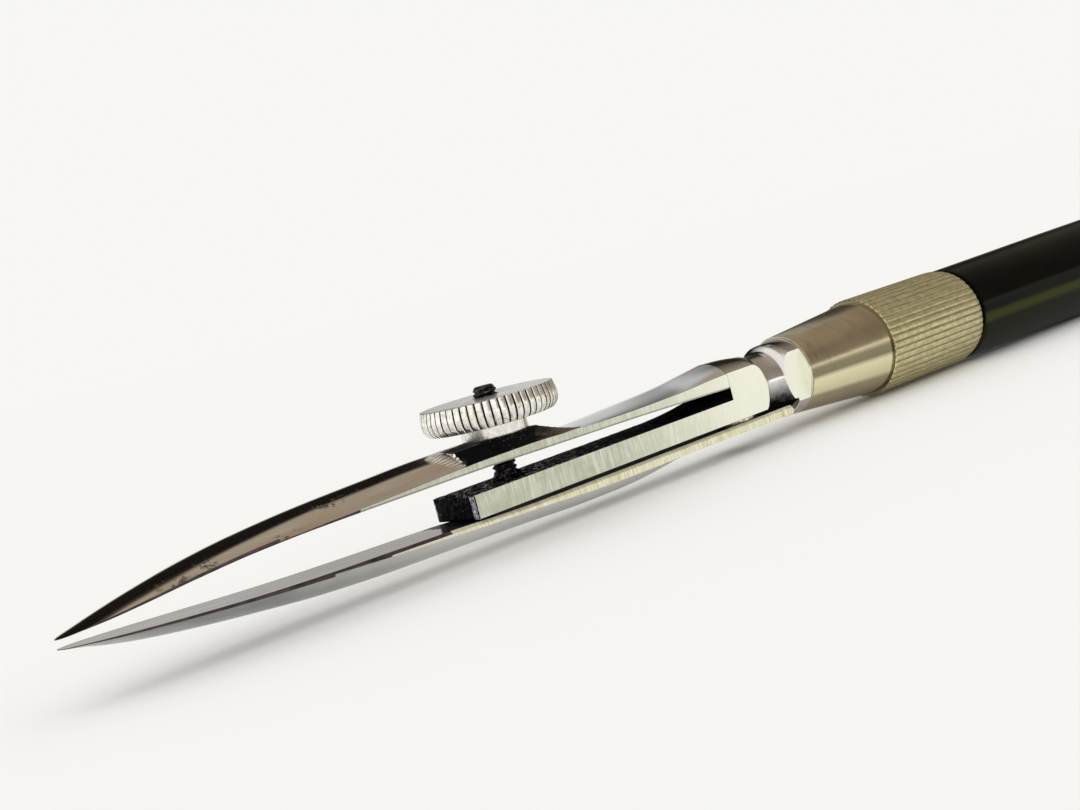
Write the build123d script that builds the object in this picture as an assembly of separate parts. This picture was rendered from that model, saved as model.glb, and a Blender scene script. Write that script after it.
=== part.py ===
"""Ruling pen with a spring blade, a swinging lower blade, a thumb nut, a knurled ferrule and a round handle.

Lengths are in millimetres. While it is modelled, X runs along the pen from the blade tips at 0 towards the
handle, Z is the axis of the adjusting screw with the nut on top, and the turned parts are round the line
y = z = 0. The pen is then moved so that its origin is the middle of its length, on the surface it lies on.
"""

import math
import os

from build123d import *

# Turned stock of the bow, and the flats milled on it
STOCK_R = 2.57
FLAT_HALF_WIDTH = 2.0
WAIST_R = 1.92
COLLAR_TOP_Z = 2.38

# Points, as place along the pen and radius, that the coves before and behind the waist pass through
FRONT_COVE = (46.87, 2.20)
REAR_COVE = (49.28, 2.15)

# Places along the pen
TIP_X = 0.02
BAR_START_X = 23.5
SCREW_X = 27.4
SLOT_END_X = 44.1
PIVOT_X = 45.4
GROOVE_START_X = 46.45
WAIST_X = 47.5
WAIST_END_X = 48.4
COLLAR_X = 49.85
UNDERSIDE_END_X = 49.75
FLAT_CUT_END_X = 50.85
FERRULE_X = 50.95
KNURL_X = 58.45
KNURL_END_X = 68.7
HANDLE_END_X = 150.0

# Stem bar and slot heights
BAR_TOP_Z = -0.08
BAR_BOTTOM_Z = -1.385
SLOT_TOP_Z = 0.68

# Blades: in plan the nose is half an ellipse, as wide as the flats where it ends
NOSE_LENGTH = 10.0
TAIL_TOP_Z = -1.65
TAIL_BOTTOM_Z = -2.21
TAIL_START_X = 39.5
TAIL_END_X = 48.98

# Upper blade sections: place along the pen, inner face, top of the side band, crest of the back
UPPER_SECTIONS = [
    (TIP_X, 0.07, 0.09, 0.11),
    (0.25, 0.09, 0.12, 0.18),
    (1.0, 0.17, 0.21, 0.36),
    (2.2, 0.27, 0.32, 0.66),
    (4.0, 0.46, 0.52, 1.06),
    (7.0, 0.79, 0.86, 1.61),
    (10.0, 1.01, 1.09, 1.99),
    (14.0, 1.12, 1.22, 2.29),
    (18.0, 1.13, 1.34, 2.45),
    (22.0, 1.13, 1.48, 2.57),
    (25.0, 1.12, 1.56, 2.56),
    (28.0, 1.05, 1.57, 2.20),
    (32.0, 0.98, 1.44, 1.60),
    (36.0, 0.91, 1.37, 1.78),
    (40.0, 0.80, 1.41, 1.98),
    (42.5, 0.73, 1.53, 2.22),
    (SLOT_END_X, SLOT_TOP_Z, 1.58, 2.40),
]

# The block behind the slot, in the same terms, down to the milled underside
BLOCK_SECTIONS = [
    (SLOT_END_X, BAR_BOTTOM_Z, 1.58, 2.40),
    (45.5, BAR_BOTTOM_Z, 1.60, 2.33),
    (47.0, BAR_BOTTOM_Z, 1.60, 2.16),
]

# Lower blade sections: place along the pen, then the depths of inner face, side band and belly below the axis
LOWER_SECTIONS = [
    (TIP_X, 0.38, 0.40, 0.42),
    (0.25, 0.40, 0.43, 0.48),
    (1.0, 0.45, 0.49, 0.62),
    (2.2, 0.54, 0.59, 0.93),
    (4.0, 0.67, 0.73, 1.29),
    (7.0, 0.88, 0.95, 1.72),
    (10.0, 1.07, 1.16, 2.06),
    (14.0, 1.25, 1.38, 2.43),
    (18.0, 1.36, 1.61, 2.62),
    (22.0, 1.46, 1.78, 2.70),
    (25.0, 1.58, 1.90, 2.755),
    (28.0, 1.645, 2.00, 2.83),
    (32.0, 1.65, 2.17, 2.95),
    (34.0, 1.65, 2.20, 2.95),
    (36.0, 1.65, 2.21, 2.88),
    (38.0, 1.65, 2.21, 2.65),
    (TAIL_START_X, -TAIL_TOP_Z, -TAIL_BOTTOM_Z, 2.30),
]

# Nut seat on the upper blade: a flat top with sloping sides over the side bands, spot-faced round the screw
SEAT_Z = 2.39
SPOT_R = 2.1
SEAT_START_X = 23.3
SEAT_END_X = 29.3
SEAT_HALF_WIDTH = 1.3
SEAT_FOOT_X = 31.9
SEAT_FOOT_Z = 1.54
SEAT_BAND_Z = 1.5
SEAT_BASE_Z = 1.2
SEAT_RAMP_X = 30.4
SEAT_RAMP_Z = 2.02

# Adjusting screw, M1.4 by 0.3, its thread made as rings
SCREW_R = 0.7
SCREW_CORE_R = 0.56
SCREW_PITCH = 0.3
SCREW_TOP_Z = 5.3
SCREW_END_LENGTH = 0.3
SCREW_END_R = 0.5
SCREW_END_EDGE_R = 0.66
SCREW_END_EDGE_STEP = 0.12
SCREW_HOLE_R = 1.0

# Thumb nut
NUT_R = 4.0
NUT_TOP_R = 3.83
NUT_FOOT_R = 3.65
NUT_TOP_Z = 4.70
NUT_BULGE_Z = 4.0
NUT_FOOT_Z = 3.22
NUT_UNDERCUT_R = 3.88
NUT_UNDERCUT_Z = 3.50
BOSS_R = 1.92
BOSS_EDGE = 0.08
NUT_BORE_R = 0.80
NUT_FLUTES = 55
NUT_FLUTE_DEPTH = 0.16
NUT_FLUTE_WIDTH = 0.22

# More than any height or half width of the bow, for cutting boxes
ROOM = 5.0

# How far a piece reaches into the one it is joined to, and a groove past the metal it cuts
LAP = 0.5
PAST = 0.2

# Gap in which the spring blade tilts, and the clearance of turning faces
LEAF_GAP = 0.03
RUNNING_GAP = 0.01

# Pivot of the lower blade
PIVOT_R = 0.8
PIVOT_HOLE_R = 0.83
PIVOT_HEAD_R = 1.35
PIVOT_HEAD_HEIGHT = 0.4
PIVOT_TOP_Z = 0.9
PIVOT_SLOT_WIDTH = 0.3
PIVOT_SLOT_DEPTH = 0.2
WASHER_R = 1.6

# Tang and ferrule
TANG_R = 1.25
TANG_CORE_R = 1.05
TANG_PITCH = 0.45
TANG_LENGTH = 7.5
TANG_BORE_R = 1.3
TANG_END_ROOM = 0.5
FERRULE_FRONT_R = 2.6
FERRULE_CONE_R = 3.16
KNURL_R = 3.385
KNURL_EDGE = 0.12
KNURL_REAR_ROUND = 0.9
KNURL_LIP_DROP = 0.4
KNURL_ROUND_X = 0.54
KNURL_ROUND_DROP = 0.1
KNURL_LINES = 46
KNURL_DEPTH = 0.12
KNURL_WIDTH = 0.2

# Handle: a tenon in the ferrule, a slight swell, a straight grip and a taper to a domed end
TENON_R = 2.4
TENON_LENGTH = 7.5
HANDLE_FRONT_R = 3.3
HANDLE_R = 3.5
GRIP_START_X = 92.0
GRIP_END_X = 122.0
HANDLE_REAR_R = 2.7
DOME_LENGTH = 1.8
FRONT_SLOPE = 0.013
REAR_SLOPE = -0.06
DOME_SLOPE = -0.3


def half_width(x):
    """Half the width of a blade at a place along the pen."""
    if x > NOSE_LENGTH:
        return FLAT_HALF_WIDTH
    return FLAT_HALF_WIDTH * math.sqrt(1 - (1 - x / NOSE_LENGTH) ** 2)


def section_face(x, inner_z, band_z, crest_z):
    """Section of a blade: a flat inner face, two side bands and a round back."""
    half = half_width(x)
    left, right = (x, -half, band_z), (x, half, band_z)
    back = ThreePointArc(left, (x, 0, crest_z), right)
    rest = Polyline(right, (x, half, inner_z), (x, -half, inner_z), left)
    return make_face([back, rest])


def through(sections):
    """A smooth solid through sections, kept between the milled flats."""
    start_x, end_x = sections[0][0], sections[-1][0]
    between_flats = block((start_x, -FLAT_HALF_WIDTH, -ROOM), (end_x, FLAT_HALF_WIDTH, ROOM))
    return loft([section_face(*section) for section in sections]) & between_flats


def upright(radius, low_z, high_z, x):
    """A cylinder round the vertical line at x."""
    return Pos(x, 0, (low_z + high_z) / 2) * Cylinder(radius, high_z - low_z)


def block(low, high):
    """A box between two corners."""
    size = [b - a for a, b in zip(low, high)]
    middle = [(a + b) / 2 for a, b in zip(low, high)]
    return Pos(*middle) * Box(*size)


def turned(lines, axis=Axis.X):
    """A solid turned round an axis from its half outline."""
    return revolve(Plane.XZ * make_face(lines), axis)


def notch(root_r, outer_r, width):
    """A V in plan that points at the centre and is as wide as stated at the outer radius."""
    beyond = outer_r + PAST
    half = width / 2 * (beyond - root_r) / (outer_r - root_r)
    return make_face(Polyline((root_r, 0), (beyond, -half), (beyond, half), close=True))


def ringed_rod(core_r, ridge_r, start, end, pitch):
    """Half outline of a threaded rod with a ridge at each pitch, as (place, radius) points."""
    points = [(start, core_r)]
    for turn in range(round((end - start) / pitch)):
        foot = start + turn * pitch
        points += [(foot + 0.5 * pitch, ridge_r), (foot + pitch, core_r)]
    return points


def seat_pad():
    """The thick part of the spring blade that carries the nut."""
    side = [
        Polyline(
            (SEAT_FOOT_X, SEAT_FOOT_Z),
            (SEAT_FOOT_X, SEAT_BASE_Z),
            (SEAT_START_X, SEAT_BASE_Z),
            (SEAT_START_X, SEAT_Z),
            (SEAT_END_X, SEAT_Z),
        ),
        ThreePointArc((SEAT_END_X, SEAT_Z), (SEAT_RAMP_X, SEAT_RAMP_Z), (SEAT_FOOT_X, SEAT_FOOT_Z)),
    ]
    across = Polyline(
        (-FLAT_HALF_WIDTH, SEAT_BASE_Z),
        (-FLAT_HALF_WIDTH, SEAT_BAND_Z),
        (-SEAT_HALF_WIDTH, SEAT_Z),
        (SEAT_HALF_WIDTH, SEAT_Z),
        (FLAT_HALF_WIDTH, SEAT_BAND_Z),
        (FLAT_HALF_WIDTH, SEAT_BASE_Z),
        close=True,
    )
    long_prism = extrude(Plane.XZ * make_face(side), FLAT_HALF_WIDTH, both=True)
    cross_prism = extrude(Plane.YZ * make_face(across), SEAT_FOOT_X)
    return long_prism & cross_prism


def upper_blade():
    """The spring blade, cut short of the block by the gap in which it tilts."""
    spring = through(UPPER_SECTIONS) + seat_pad()
    spring -= upright(SCREW_HOLE_R, 0, ROOM, SCREW_X)
    spring -= upright(SPOT_R, SEAT_Z, ROOM, SCREW_X)
    return spring - block((SLOT_END_X - LEAF_GAP, -ROOM, -ROOM), (SLOT_END_X + LAP, ROOM, ROOM))


def lower_blade():
    """The swinging blade, which ends in a thin flat tail under the block."""
    tail = block(
        (TAIL_START_X - LAP, -FLAT_HALF_WIDTH, TAIL_BOTTOM_Z),
        (TAIL_END_X, FLAT_HALF_WIDTH, TAIL_TOP_Z),
    )
    body = mirror(through(LOWER_SECTIONS), Plane.XY) + tail
    body -= upright(PIVOT_HOLE_R, -ROOM, 0, PIVOT_X)
    sink = Cone(PIVOT_HEAD_R + RUNNING_GAP, PIVOT_HOLE_R, PIVOT_HEAD_HEIGHT)
    return body - Pos(PIVOT_X, 0, TAIL_BOTTOM_Z + PIVOT_HEAD_HEIGHT / 2) * sink


def shank():
    """Block, waisted neck and collar, turned from the round stock."""
    outline = [
        Line((SLOT_END_X, 0), (SLOT_END_X, STOCK_R)),
        Line((SLOT_END_X, STOCK_R), (GROOVE_START_X, STOCK_R)),
        ThreePointArc((GROOVE_START_X, STOCK_R), FRONT_COVE, (WAIST_X, WAIST_R)),
        Line((WAIST_X, WAIST_R), (WAIST_END_X, WAIST_R)),
        ThreePointArc((WAIST_END_X, WAIST_R), REAR_COVE, (COLLAR_X, STOCK_R)),
        Line((COLLAR_X, STOCK_R), (FERRULE_X, STOCK_R)),
        Line((FERRULE_X, STOCK_R), (FERRULE_X, 0)),
        Line((FERRULE_X, 0), (SLOT_END_X, 0)),
    ]
    body = turned(outline)
    for low_y, high_y in ((-ROOM, -FLAT_HALF_WIDTH), (FLAT_HALF_WIDTH, ROOM)):
        body -= block((SLOT_END_X - LAP, low_y, -ROOM), (FLAT_CUT_END_X, high_y, ROOM))
    body -= block((SLOT_END_X - LAP, -ROOM, -ROOM), (UNDERSIDE_END_X, ROOM, BAR_BOTTOM_Z))
    body -= block((WAIST_END_X, -ROOM, COLLAR_TOP_Z), (FLAT_CUT_END_X, ROOM, ROOM))
    join_x = BLOCK_SECTIONS[-1][0]
    rear = body & block((join_x, -ROOM, -ROOM), (FERRULE_X, ROOM, ROOM))
    return (body & through(BLOCK_SECTIONS)) + rear


def bow():
    """Stem bar, shank and tang in one piece of steel."""
    bar = block(
        (BAR_START_X, -FLAT_HALF_WIDTH, BAR_BOTTOM_Z),
        (SLOT_END_X, FLAT_HALF_WIDTH, BAR_TOP_Z),
    )
    tang_start = FERRULE_X - LAP
    thread = ringed_rod(TANG_CORE_R, TANG_R, tang_start, FERRULE_X + TANG_LENGTH, TANG_PITCH)
    tang = turned(Polyline((tang_start, 0), *thread, (thread[-1][0], 0), close=True))
    whole = shank() + bar + tang
    whole -= upright(SCREW_R, -ROOM, ROOM, SCREW_X)
    return whole - upright(PIVOT_R, -ROOM, PIVOT_TOP_Z, PIVOT_X)


def adjusting_screw():
    """The stud: plain where it is fixed in the bar, ringed above it, with a chamfered flat end."""
    thread_end = SCREW_TOP_Z - SCREW_END_LENGTH
    ridges = ringed_rod(SCREW_CORE_R, SCREW_R, BAR_TOP_Z, thread_end, SCREW_PITCH)
    outline = [(0, BAR_BOTTOM_Z), (SCREW_R, BAR_BOTTOM_Z), (SCREW_R, BAR_TOP_Z)]
    outline += [(radius, z) for z, radius in ridges]
    end_edge = (SCREW_END_EDGE_R, ridges[-1][0] + SCREW_END_EDGE_STEP)
    outline += [end_edge, (SCREW_END_R, SCREW_TOP_Z), (0, SCREW_TOP_Z)]
    return Pos(SCREW_X, 0, 0) * turned(Polyline(*outline, close=True), Axis.Z)


def thumb_nut():
    """The nut: a flat top with a sharp edge, a fluted rim that curves in below, and a boss."""
    bulge = (NUT_R, NUT_BULGE_Z)
    outline = [
        Line((NUT_TOP_R, NUT_TOP_Z), bulge),
        ThreePointArc(bulge, (NUT_UNDERCUT_R, NUT_UNDERCUT_Z), (NUT_FOOT_R, NUT_FOOT_Z)),
        Polyline(
            (NUT_FOOT_R, NUT_FOOT_Z),
            (BOSS_R, NUT_FOOT_Z),
            (BOSS_R, SEAT_Z + BOSS_EDGE),
            (BOSS_R - BOSS_EDGE, SEAT_Z + RUNNING_GAP),
            (NUT_BORE_R, SEAT_Z + RUNNING_GAP),
            (NUT_BORE_R, NUT_TOP_Z),
            (NUT_TOP_R, NUT_TOP_Z),
        ),
    ]
    nut = turned(outline, Axis.Z)
    flute_plan = Plane.XY.offset(NUT_FOOT_Z - PAST) * notch(NUT_R - NUT_FLUTE_DEPTH, NUT_R, NUT_FLUTE_WIDTH)
    flute = extrude(flute_plan, NUT_TOP_Z - NUT_FOOT_Z + 2 * PAST)
    step = 360 / NUT_FLUTES
    nut -= [Rot(0, 0, step * turn) * flute for turn in range(NUT_FLUTES)]
    return Pos(SCREW_X, 0, 0) * nut


def pivot_screw():
    """The slotted countersunk screw that the lower blade swings on."""
    foot_z = TAIL_BOTTOM_Z + RUNNING_GAP
    outline = Polyline(
        (0, foot_z),
        (PIVOT_HEAD_R - RUNNING_GAP, foot_z),
        (PIVOT_R, foot_z + PIVOT_HEAD_HEIGHT - 3 * RUNNING_GAP),
        (PIVOT_R, PIVOT_TOP_Z),
        (0, PIVOT_TOP_Z),
        close=True,
    )
    slot = Box(3 * PIVOT_HEAD_R, PIVOT_SLOT_WIDTH, 2 * PIVOT_SLOT_DEPTH)
    return Pos(PIVOT_X, 0, 0) * (turned(outline, Axis.Z) - Pos(0, 0, foot_z) * slot)


def pivot_washer():
    """The spacer that keeps the slit open between the block and the lower blade."""
    low_z = TAIL_TOP_Z + RUNNING_GAP
    ring = upright(WASHER_R, low_z, BAR_BOTTOM_Z, PIVOT_X)
    return ring - upright(PIVOT_R, -ROOM, 0, PIVOT_X)


def ferrule():
    """Cone, then a knurled cylinder with a rounded rear rim, bored for the tang and the tenon."""
    tang_bore_end = FERRULE_X + TANG_LENGTH + TANG_END_ROOM
    tenon_x = KNURL_END_X - TENON_LENGTH
    round_x = KNURL_END_X - KNURL_REAR_ROUND
    lip = (KNURL_END_X, KNURL_R - KNURL_LIP_DROP)
    outline = [
        Polyline(
            (FERRULE_X, TANG_BORE_R),
            (FERRULE_X, FERRULE_FRONT_R),
            (KNURL_X, FERRULE_CONE_R),
            (KNURL_X, KNURL_R - KNURL_EDGE),
            (KNURL_X + KNURL_EDGE, KNURL_R),
            (round_x, KNURL_R),
        ),
        ThreePointArc(
            (round_x, KNURL_R),
            (round_x + KNURL_ROUND_X, KNURL_R - KNURL_ROUND_DROP),
            lip,
        ),
        Polyline(
            lip,
            (KNURL_END_X, TENON_R),
            (tenon_x, TENON_R),
            (tenon_x, TANG_BORE_R),
            (tang_bore_end, TANG_BORE_R),
            (FERRULE_X, TANG_BORE_R),
        ),
    ]
    groove_plan = Plane.YZ.offset(KNURL_X) * notch(KNURL_R - KNURL_DEPTH, KNURL_R, KNURL_WIDTH)
    groove = extrude(groove_plan, KNURL_END_X - KNURL_X + PAST)
    step = 360 / KNURL_LINES
    return turned(outline) - [Rot(step * turn, 0, 0) * groove for turn in range(KNURL_LINES)]


def handle():
    """The black rod with its tenon."""
    dome_x = HANDLE_END_X - DOME_LENGTH
    tenon_x = KNURL_END_X - TENON_LENGTH
    shoulder = (KNURL_END_X, HANDLE_FRONT_R)
    grip_start, grip_end = (GRIP_START_X, HANDLE_R), (GRIP_END_X, HANDLE_R)
    rear, end = (dome_x, HANDLE_REAR_R), (HANDLE_END_X, 0)
    outline = [
        Polyline(end, (tenon_x, 0), (tenon_x, TENON_R), (KNURL_END_X, TENON_R), shoulder),
        Spline(shoulder, grip_start, tangents=[(1, FRONT_SLOPE), (1, 0)]),
        Line(grip_start, grip_end),
        Spline(grip_end, rear, tangents=[(1, 0), (1, REAR_SLOPE)]),
        Spline(rear, end, tangents=[(1, DOME_SLOPE), (0, -1)]),
    ]
    return turned(outline)


NODES = {
    "bow": bow,
    "upper_blade": upper_blade,
    "lower_blade": lower_blade,
    "adjusting_screw": adjusting_screw,
    "thumb_nut": thumb_nut,
    "pivot_screw": pivot_screw,
    "pivot_washer": pivot_washer,
    "ferrule": ferrule,
    "handle": handle,
}

os.makedirs("parts", exist_ok=True)
at_rest = Pos(-(TIP_X + HANDLE_END_X) / 2, 0, HANDLE_R)
for name, make in NODES.items():
    export_step(at_rest * make(), f"parts/{name}.step")
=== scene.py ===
"""A ruling pen, dressed for a close view: ground steel blades, a fluted nut, a knurled ferrule, a black handle."""

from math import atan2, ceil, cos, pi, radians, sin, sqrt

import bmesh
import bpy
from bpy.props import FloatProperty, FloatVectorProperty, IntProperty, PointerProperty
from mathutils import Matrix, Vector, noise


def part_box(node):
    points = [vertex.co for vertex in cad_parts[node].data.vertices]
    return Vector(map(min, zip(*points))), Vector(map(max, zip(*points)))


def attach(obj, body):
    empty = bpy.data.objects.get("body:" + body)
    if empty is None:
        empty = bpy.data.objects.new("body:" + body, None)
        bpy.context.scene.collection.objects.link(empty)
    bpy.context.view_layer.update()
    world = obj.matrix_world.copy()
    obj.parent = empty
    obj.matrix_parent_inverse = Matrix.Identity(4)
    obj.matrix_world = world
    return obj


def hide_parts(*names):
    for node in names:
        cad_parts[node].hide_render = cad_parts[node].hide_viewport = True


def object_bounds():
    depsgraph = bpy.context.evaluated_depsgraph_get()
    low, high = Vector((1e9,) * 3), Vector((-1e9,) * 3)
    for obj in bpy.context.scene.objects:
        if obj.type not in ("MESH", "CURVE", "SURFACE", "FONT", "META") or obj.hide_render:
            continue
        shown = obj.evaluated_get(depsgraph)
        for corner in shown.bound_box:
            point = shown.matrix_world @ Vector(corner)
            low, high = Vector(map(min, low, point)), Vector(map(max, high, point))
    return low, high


bl_info = {
    "name": "Ruling pen",
    "version": (1, 0, 0),
    "blender": (4, 5, 0),
    "location": "3D View > Sidebar > Ruling pen",
    "description": "Dresses the packed frame of a ruling pen and sets its stage",
    "category": "Object",
}

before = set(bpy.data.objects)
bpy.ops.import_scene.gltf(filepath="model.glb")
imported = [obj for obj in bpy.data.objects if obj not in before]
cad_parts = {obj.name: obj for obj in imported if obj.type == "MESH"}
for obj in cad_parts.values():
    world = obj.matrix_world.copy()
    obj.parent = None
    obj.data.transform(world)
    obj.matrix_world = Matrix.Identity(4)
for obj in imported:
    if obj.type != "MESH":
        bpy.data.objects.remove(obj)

# Millimetres, and the places that the frame gives: tips, pen axis, adjusting screw
MM = 0.001
CAD_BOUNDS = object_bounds()
TIP_MARGIN = 0.02
TIP_X = CAD_BOUNDS[0].x / MM - TIP_MARGIN
AXIS_Z = 0.5 * (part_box("handle")[0].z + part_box("handle")[1].z) / MM
SCREW_X = 0.5 * (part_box("thumb_nut")[0].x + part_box("thumb_nut")[1].x) / MM - TIP_X
HANDLE_END_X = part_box("handle")[1].x / MM - TIP_X
TAIL_END_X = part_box("lower_blade")[1].x / MM - TIP_X
BAR_START_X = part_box("bow")[0].x / MM - TIP_X
FERRULE_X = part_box("ferrule")[0].x / MM - TIP_X
KNURL_END_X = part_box("ferrule")[1].x / MM - TIP_X
PIVOT_X = 0.5 * (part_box("pivot_screw")[0].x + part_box("pivot_screw")[1].x) / MM - TIP_X
PIVOT_HOLE_R = 1.37

# Milled flats, bar and slot, in millimetres from the pen's axis
FLAT = 2.0
BAR_TOP_Z = -0.08
BAR_BOTTOM_Z = -1.385
SLOT_END_X = 44.1
NOSE_LENGTH = 10.0
TAIL_START_X = 40.5

# Upper blade: place along the pen, inner face, top of the side band, crest of the back
UPPER_LINES = [
    (TIP_MARGIN, 0.07, 0.09, 0.11),
    (0.25, 0.09, 0.12, 0.18),
    (1.0, 0.17, 0.21, 0.36),
    (2.2, 0.27, 0.32, 0.66),
    (4.0, 0.46, 0.52, 1.06),
    (7.0, 0.79, 0.86, 1.61),
    (10.0, 1.01, 1.09, 1.99),
    (14.0, 1.12, 1.22, 2.29),
    (18.0, 1.13, 1.34, 2.45),
    (22.0, 1.13, 1.48, 2.57),
    (25.0, 1.12, 1.56, 2.56),
    (28.0, 1.05, 1.57, 2.20),
    (32.0, 0.98, 1.44, 1.60),
    (36.0, 0.91, 1.37, 1.78),
    (40.0, 0.80, 1.41, 1.98),
    (42.5, 0.73, 1.53, 2.22),
    (SLOT_END_X, 0.68, 1.58, 2.40),
]

# Lower blade, in the same terms, as depths below the axis
LOWER_LINES = [
    (TIP_MARGIN, 0.38, 0.40, 0.42),
    (0.25, 0.40, 0.43, 0.48),
    (1.0, 0.45, 0.49, 0.62),
    (2.2, 0.54, 0.59, 0.93),
    (4.0, 0.67, 0.73, 1.29),
    (7.0, 0.88, 0.95, 1.72),
    (10.0, 1.07, 1.16, 2.06),
    (14.0, 1.25, 1.38, 2.43),
    (18.0, 1.36, 1.61, 2.62),
    (22.0, 1.46, 1.78, 2.70),
    (25.0, 1.58, 1.90, 2.755),
    (28.0, 1.645, 2.00, 2.83),
    (32.0, 1.65, 2.17, 2.95),
    (34.0, 1.65, 2.20, 2.95),
    (36.0, 1.65, 2.21, 2.88),
    (38.0, 1.65, 2.21, 2.65),
    (39.5, 1.65, 2.21, 2.30),
    (TAIL_START_X, 1.65, 2.21, 2.212),
    (TAIL_END_X, 1.65, 2.21, 2.212),
]

FLAT_END_X = 50.85

# Shank behind the slot: place along the pen, turned radius, crest that the top is dressed to
SHANK_LINES = [
    (SLOT_END_X, 2.57, 2.40),
    (45.5, 2.57, 2.33),
    (46.3, 2.57, 2.25),
    (46.5, 2.545, 2.22),
    (46.7, 2.485, 2.19),
    (46.9, 2.38, 2.17),
    (47.05, 2.265, 2.15),
    (47.17, 2.15, 2.13),
    (47.27, 2.04, 2.12),
    (47.4, 1.96, 2.11),
    (47.6, 1.92, 2.10),
    (48.0, 1.92, 2.14),
    (48.6, 1.93, 2.22),
    (48.93, 1.96, 2.28),
    (49.06, 2.03, 2.30),
    (49.12, 2.10, 2.31),
    (49.2, 2.19, 2.32),
    (49.3, 2.30, 2.34),
    (49.45, 2.42, 2.35),
    (49.6, 2.505, 2.36),
    (49.75, 2.552, 2.37),
    (49.9, 2.57, 2.37),
    (50.84, 2.57, 2.37),
    (FLAT_END_X, 2.57, 2.52),
    (FERRULE_X, 2.57, 2.52),
]
UNDERSIDE_END_X = 49.75

# Gap that lets the spring blade tilt against the block
HINGE_GAP = 0.019

# Nut seat on the upper blade
SEAT_Z = 2.39
SEAT_START_X = 23.3
SEAT_END_X = 29.3
SEAT_HALF_WIDTH = 1.3
SEAT_FOOT_X = 31.9
SEAT_FOOT_Z = 1.54
SEAT_BAND_Z = 1.5
SPOT_R = 2.1
SCREW_HOLE_R = 1.0


def pen(x, y, z):
    """A place in metres, from millimetres behind the tips, to the far side and above the pen's axis."""
    return Vector(((x + TIP_X) * MM, y * MM, (z + AXIS_Z) * MM))


def linear(hex_color):
    """A hex sRGB colour as the linear numbers that shaders take."""
    channels = [int(hex_color[place : place + 2], 16) / 255 for place in (1, 3, 5)]
    return tuple(c / 12.92 if c <= 0.04045 else ((c + 0.055) / 1.055) ** 2.4 for c in channels) + (1.0,)


def color_property(name, description, hex_color):
    """A colour that the user can change."""
    return FloatVectorProperty(
        name=name, description=description, subtype="COLOR", size=4, min=0, max=1, default=linear(hex_color)
    )


# Sizes and colours that a user would change


class SteelSettings(bpy.types.PropertyGroup):
    flat_color: color_property("Flats", "Draw-filed side flats of the steel", "#dadccb")
    flat_shade: color_property("Flat lines", "Darker file lines on the flats", "#b3b69e")
    polish_color: color_property("Polish", "Polished steel", "#cfcbc5")
    stain_color: color_property("Stain", "Warm tarnish on the upper blade's back", "#c2b6a6")
    ink_color: color_property("Ink", "Dried black drawing ink", "#070608")
    edge_radius: FloatProperty(name="Edge", description="Radius of worn edges", default=0.03 * MM, unit="LENGTH")


class NutSettings(bpy.types.PropertyGroup):
    color: color_property("Nut", "Nickel silver of the thumb nut", "#ebe8e1")
    flutes: IntProperty(name="Flutes", description="Number of finger flutes", default=55, min=12, max=90)
    depth: FloatProperty(name="Depth", description="Depth of a flute", default=0.17 * MM, unit="LENGTH")


class FerruleSettings(bpy.types.PropertyGroup):
    color: color_property("Ferrule", "Turned nickel silver of the cone", "#b7ab8f")
    knurl_color: color_property("Knurl", "Tarnished nickel silver of the knurl", "#bbb08a")
    lines: IntProperty(name="Lines", description="Number of knurl lines", default=46, min=12, max=90)
    depth: FloatProperty(name="Depth", description="Depth of the knurl", default=0.06 * MM, unit="LENGTH")


class HandleSettings(bpy.types.PropertyGroup):
    color: color_property("Handle", "Polished black rod", "#040404")
    roughness: FloatProperty(name="Roughness", description="Roughness of the polish", default=0.09, min=0, max=1)


class StageSettings(bpy.types.PropertyGroup):
    paper_color: color_property("Paper", "White drawing paper under the pen", "#f3f2ee")
    sun_strength: FloatProperty(name="Light", description="Strength of the soft window light", default=0.10, min=0)
    lens: FloatProperty(name="Lens", description="Focal length of the camera", default=55.33, min=1)


# Shaders


def add(tree, kind, inputs=None, **settings):
    """Adds a shader node, sets its properties, and sets or links its inputs."""
    made = tree.nodes.new(kind)
    for key, value in settings.items():
        setattr(made, key, value)
    for key, value in (inputs or {}).items():
        if isinstance(value, bpy.types.NodeSocket):
            tree.links.new(value, made.inputs[key])
        else:
            made.inputs[key].default_value = value
    return made


def new_material(name):
    """An empty node material, its tree and its place coordinates."""
    material = bpy.data.materials.new(name)
    material.use_nodes = True
    tree = material.node_tree
    tree.nodes.clear()
    return material, tree, add(tree, "ShaderNodeTexCoord")


def finish_material(tree, **inputs):
    """Joins the inputs to one shader and the output. Underscores in names stand for spaces."""
    named = {key.replace("_", " "): value for key, value in inputs.items()}
    shader = add(tree, "ShaderNodeBsdfPrincipled", named)
    add(tree, "ShaderNodeOutputMaterial", {"Surface": shader.outputs["BSDF"]})


def grain(tree, coords, size_mm, detail=3.0, roughness=0.55):
    """Noise whose grains have a real size along each axis."""
    scale = [1 / (MM * size) for size in size_mm]
    place = add(tree, "ShaderNodeMapping", {"Vector": coords, "Scale": scale}).outputs["Vector"]
    noise_node = add(tree, "ShaderNodeTexNoise", {"Vector": place, "Scale": 1.0, "Detail": detail})
    noise_node.inputs["Roughness"].default_value = roughness
    return noise_node.outputs["Fac"]


def ramp(tree, value, stops):
    """A colour ramp from (place, colour) stops, colours as hex or as linear numbers."""
    made = add(tree, "ShaderNodeValToRGB", {"Fac": value})
    while len(made.color_ramp.elements) < len(stops):
        made.color_ramp.elements.new(0.5)
    for element, (place, color) in zip(made.color_ramp.elements, stops):
        element.position = place
        element.color = linear(color) if isinstance(color, str) else color
    return made.outputs["Color"]


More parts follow.
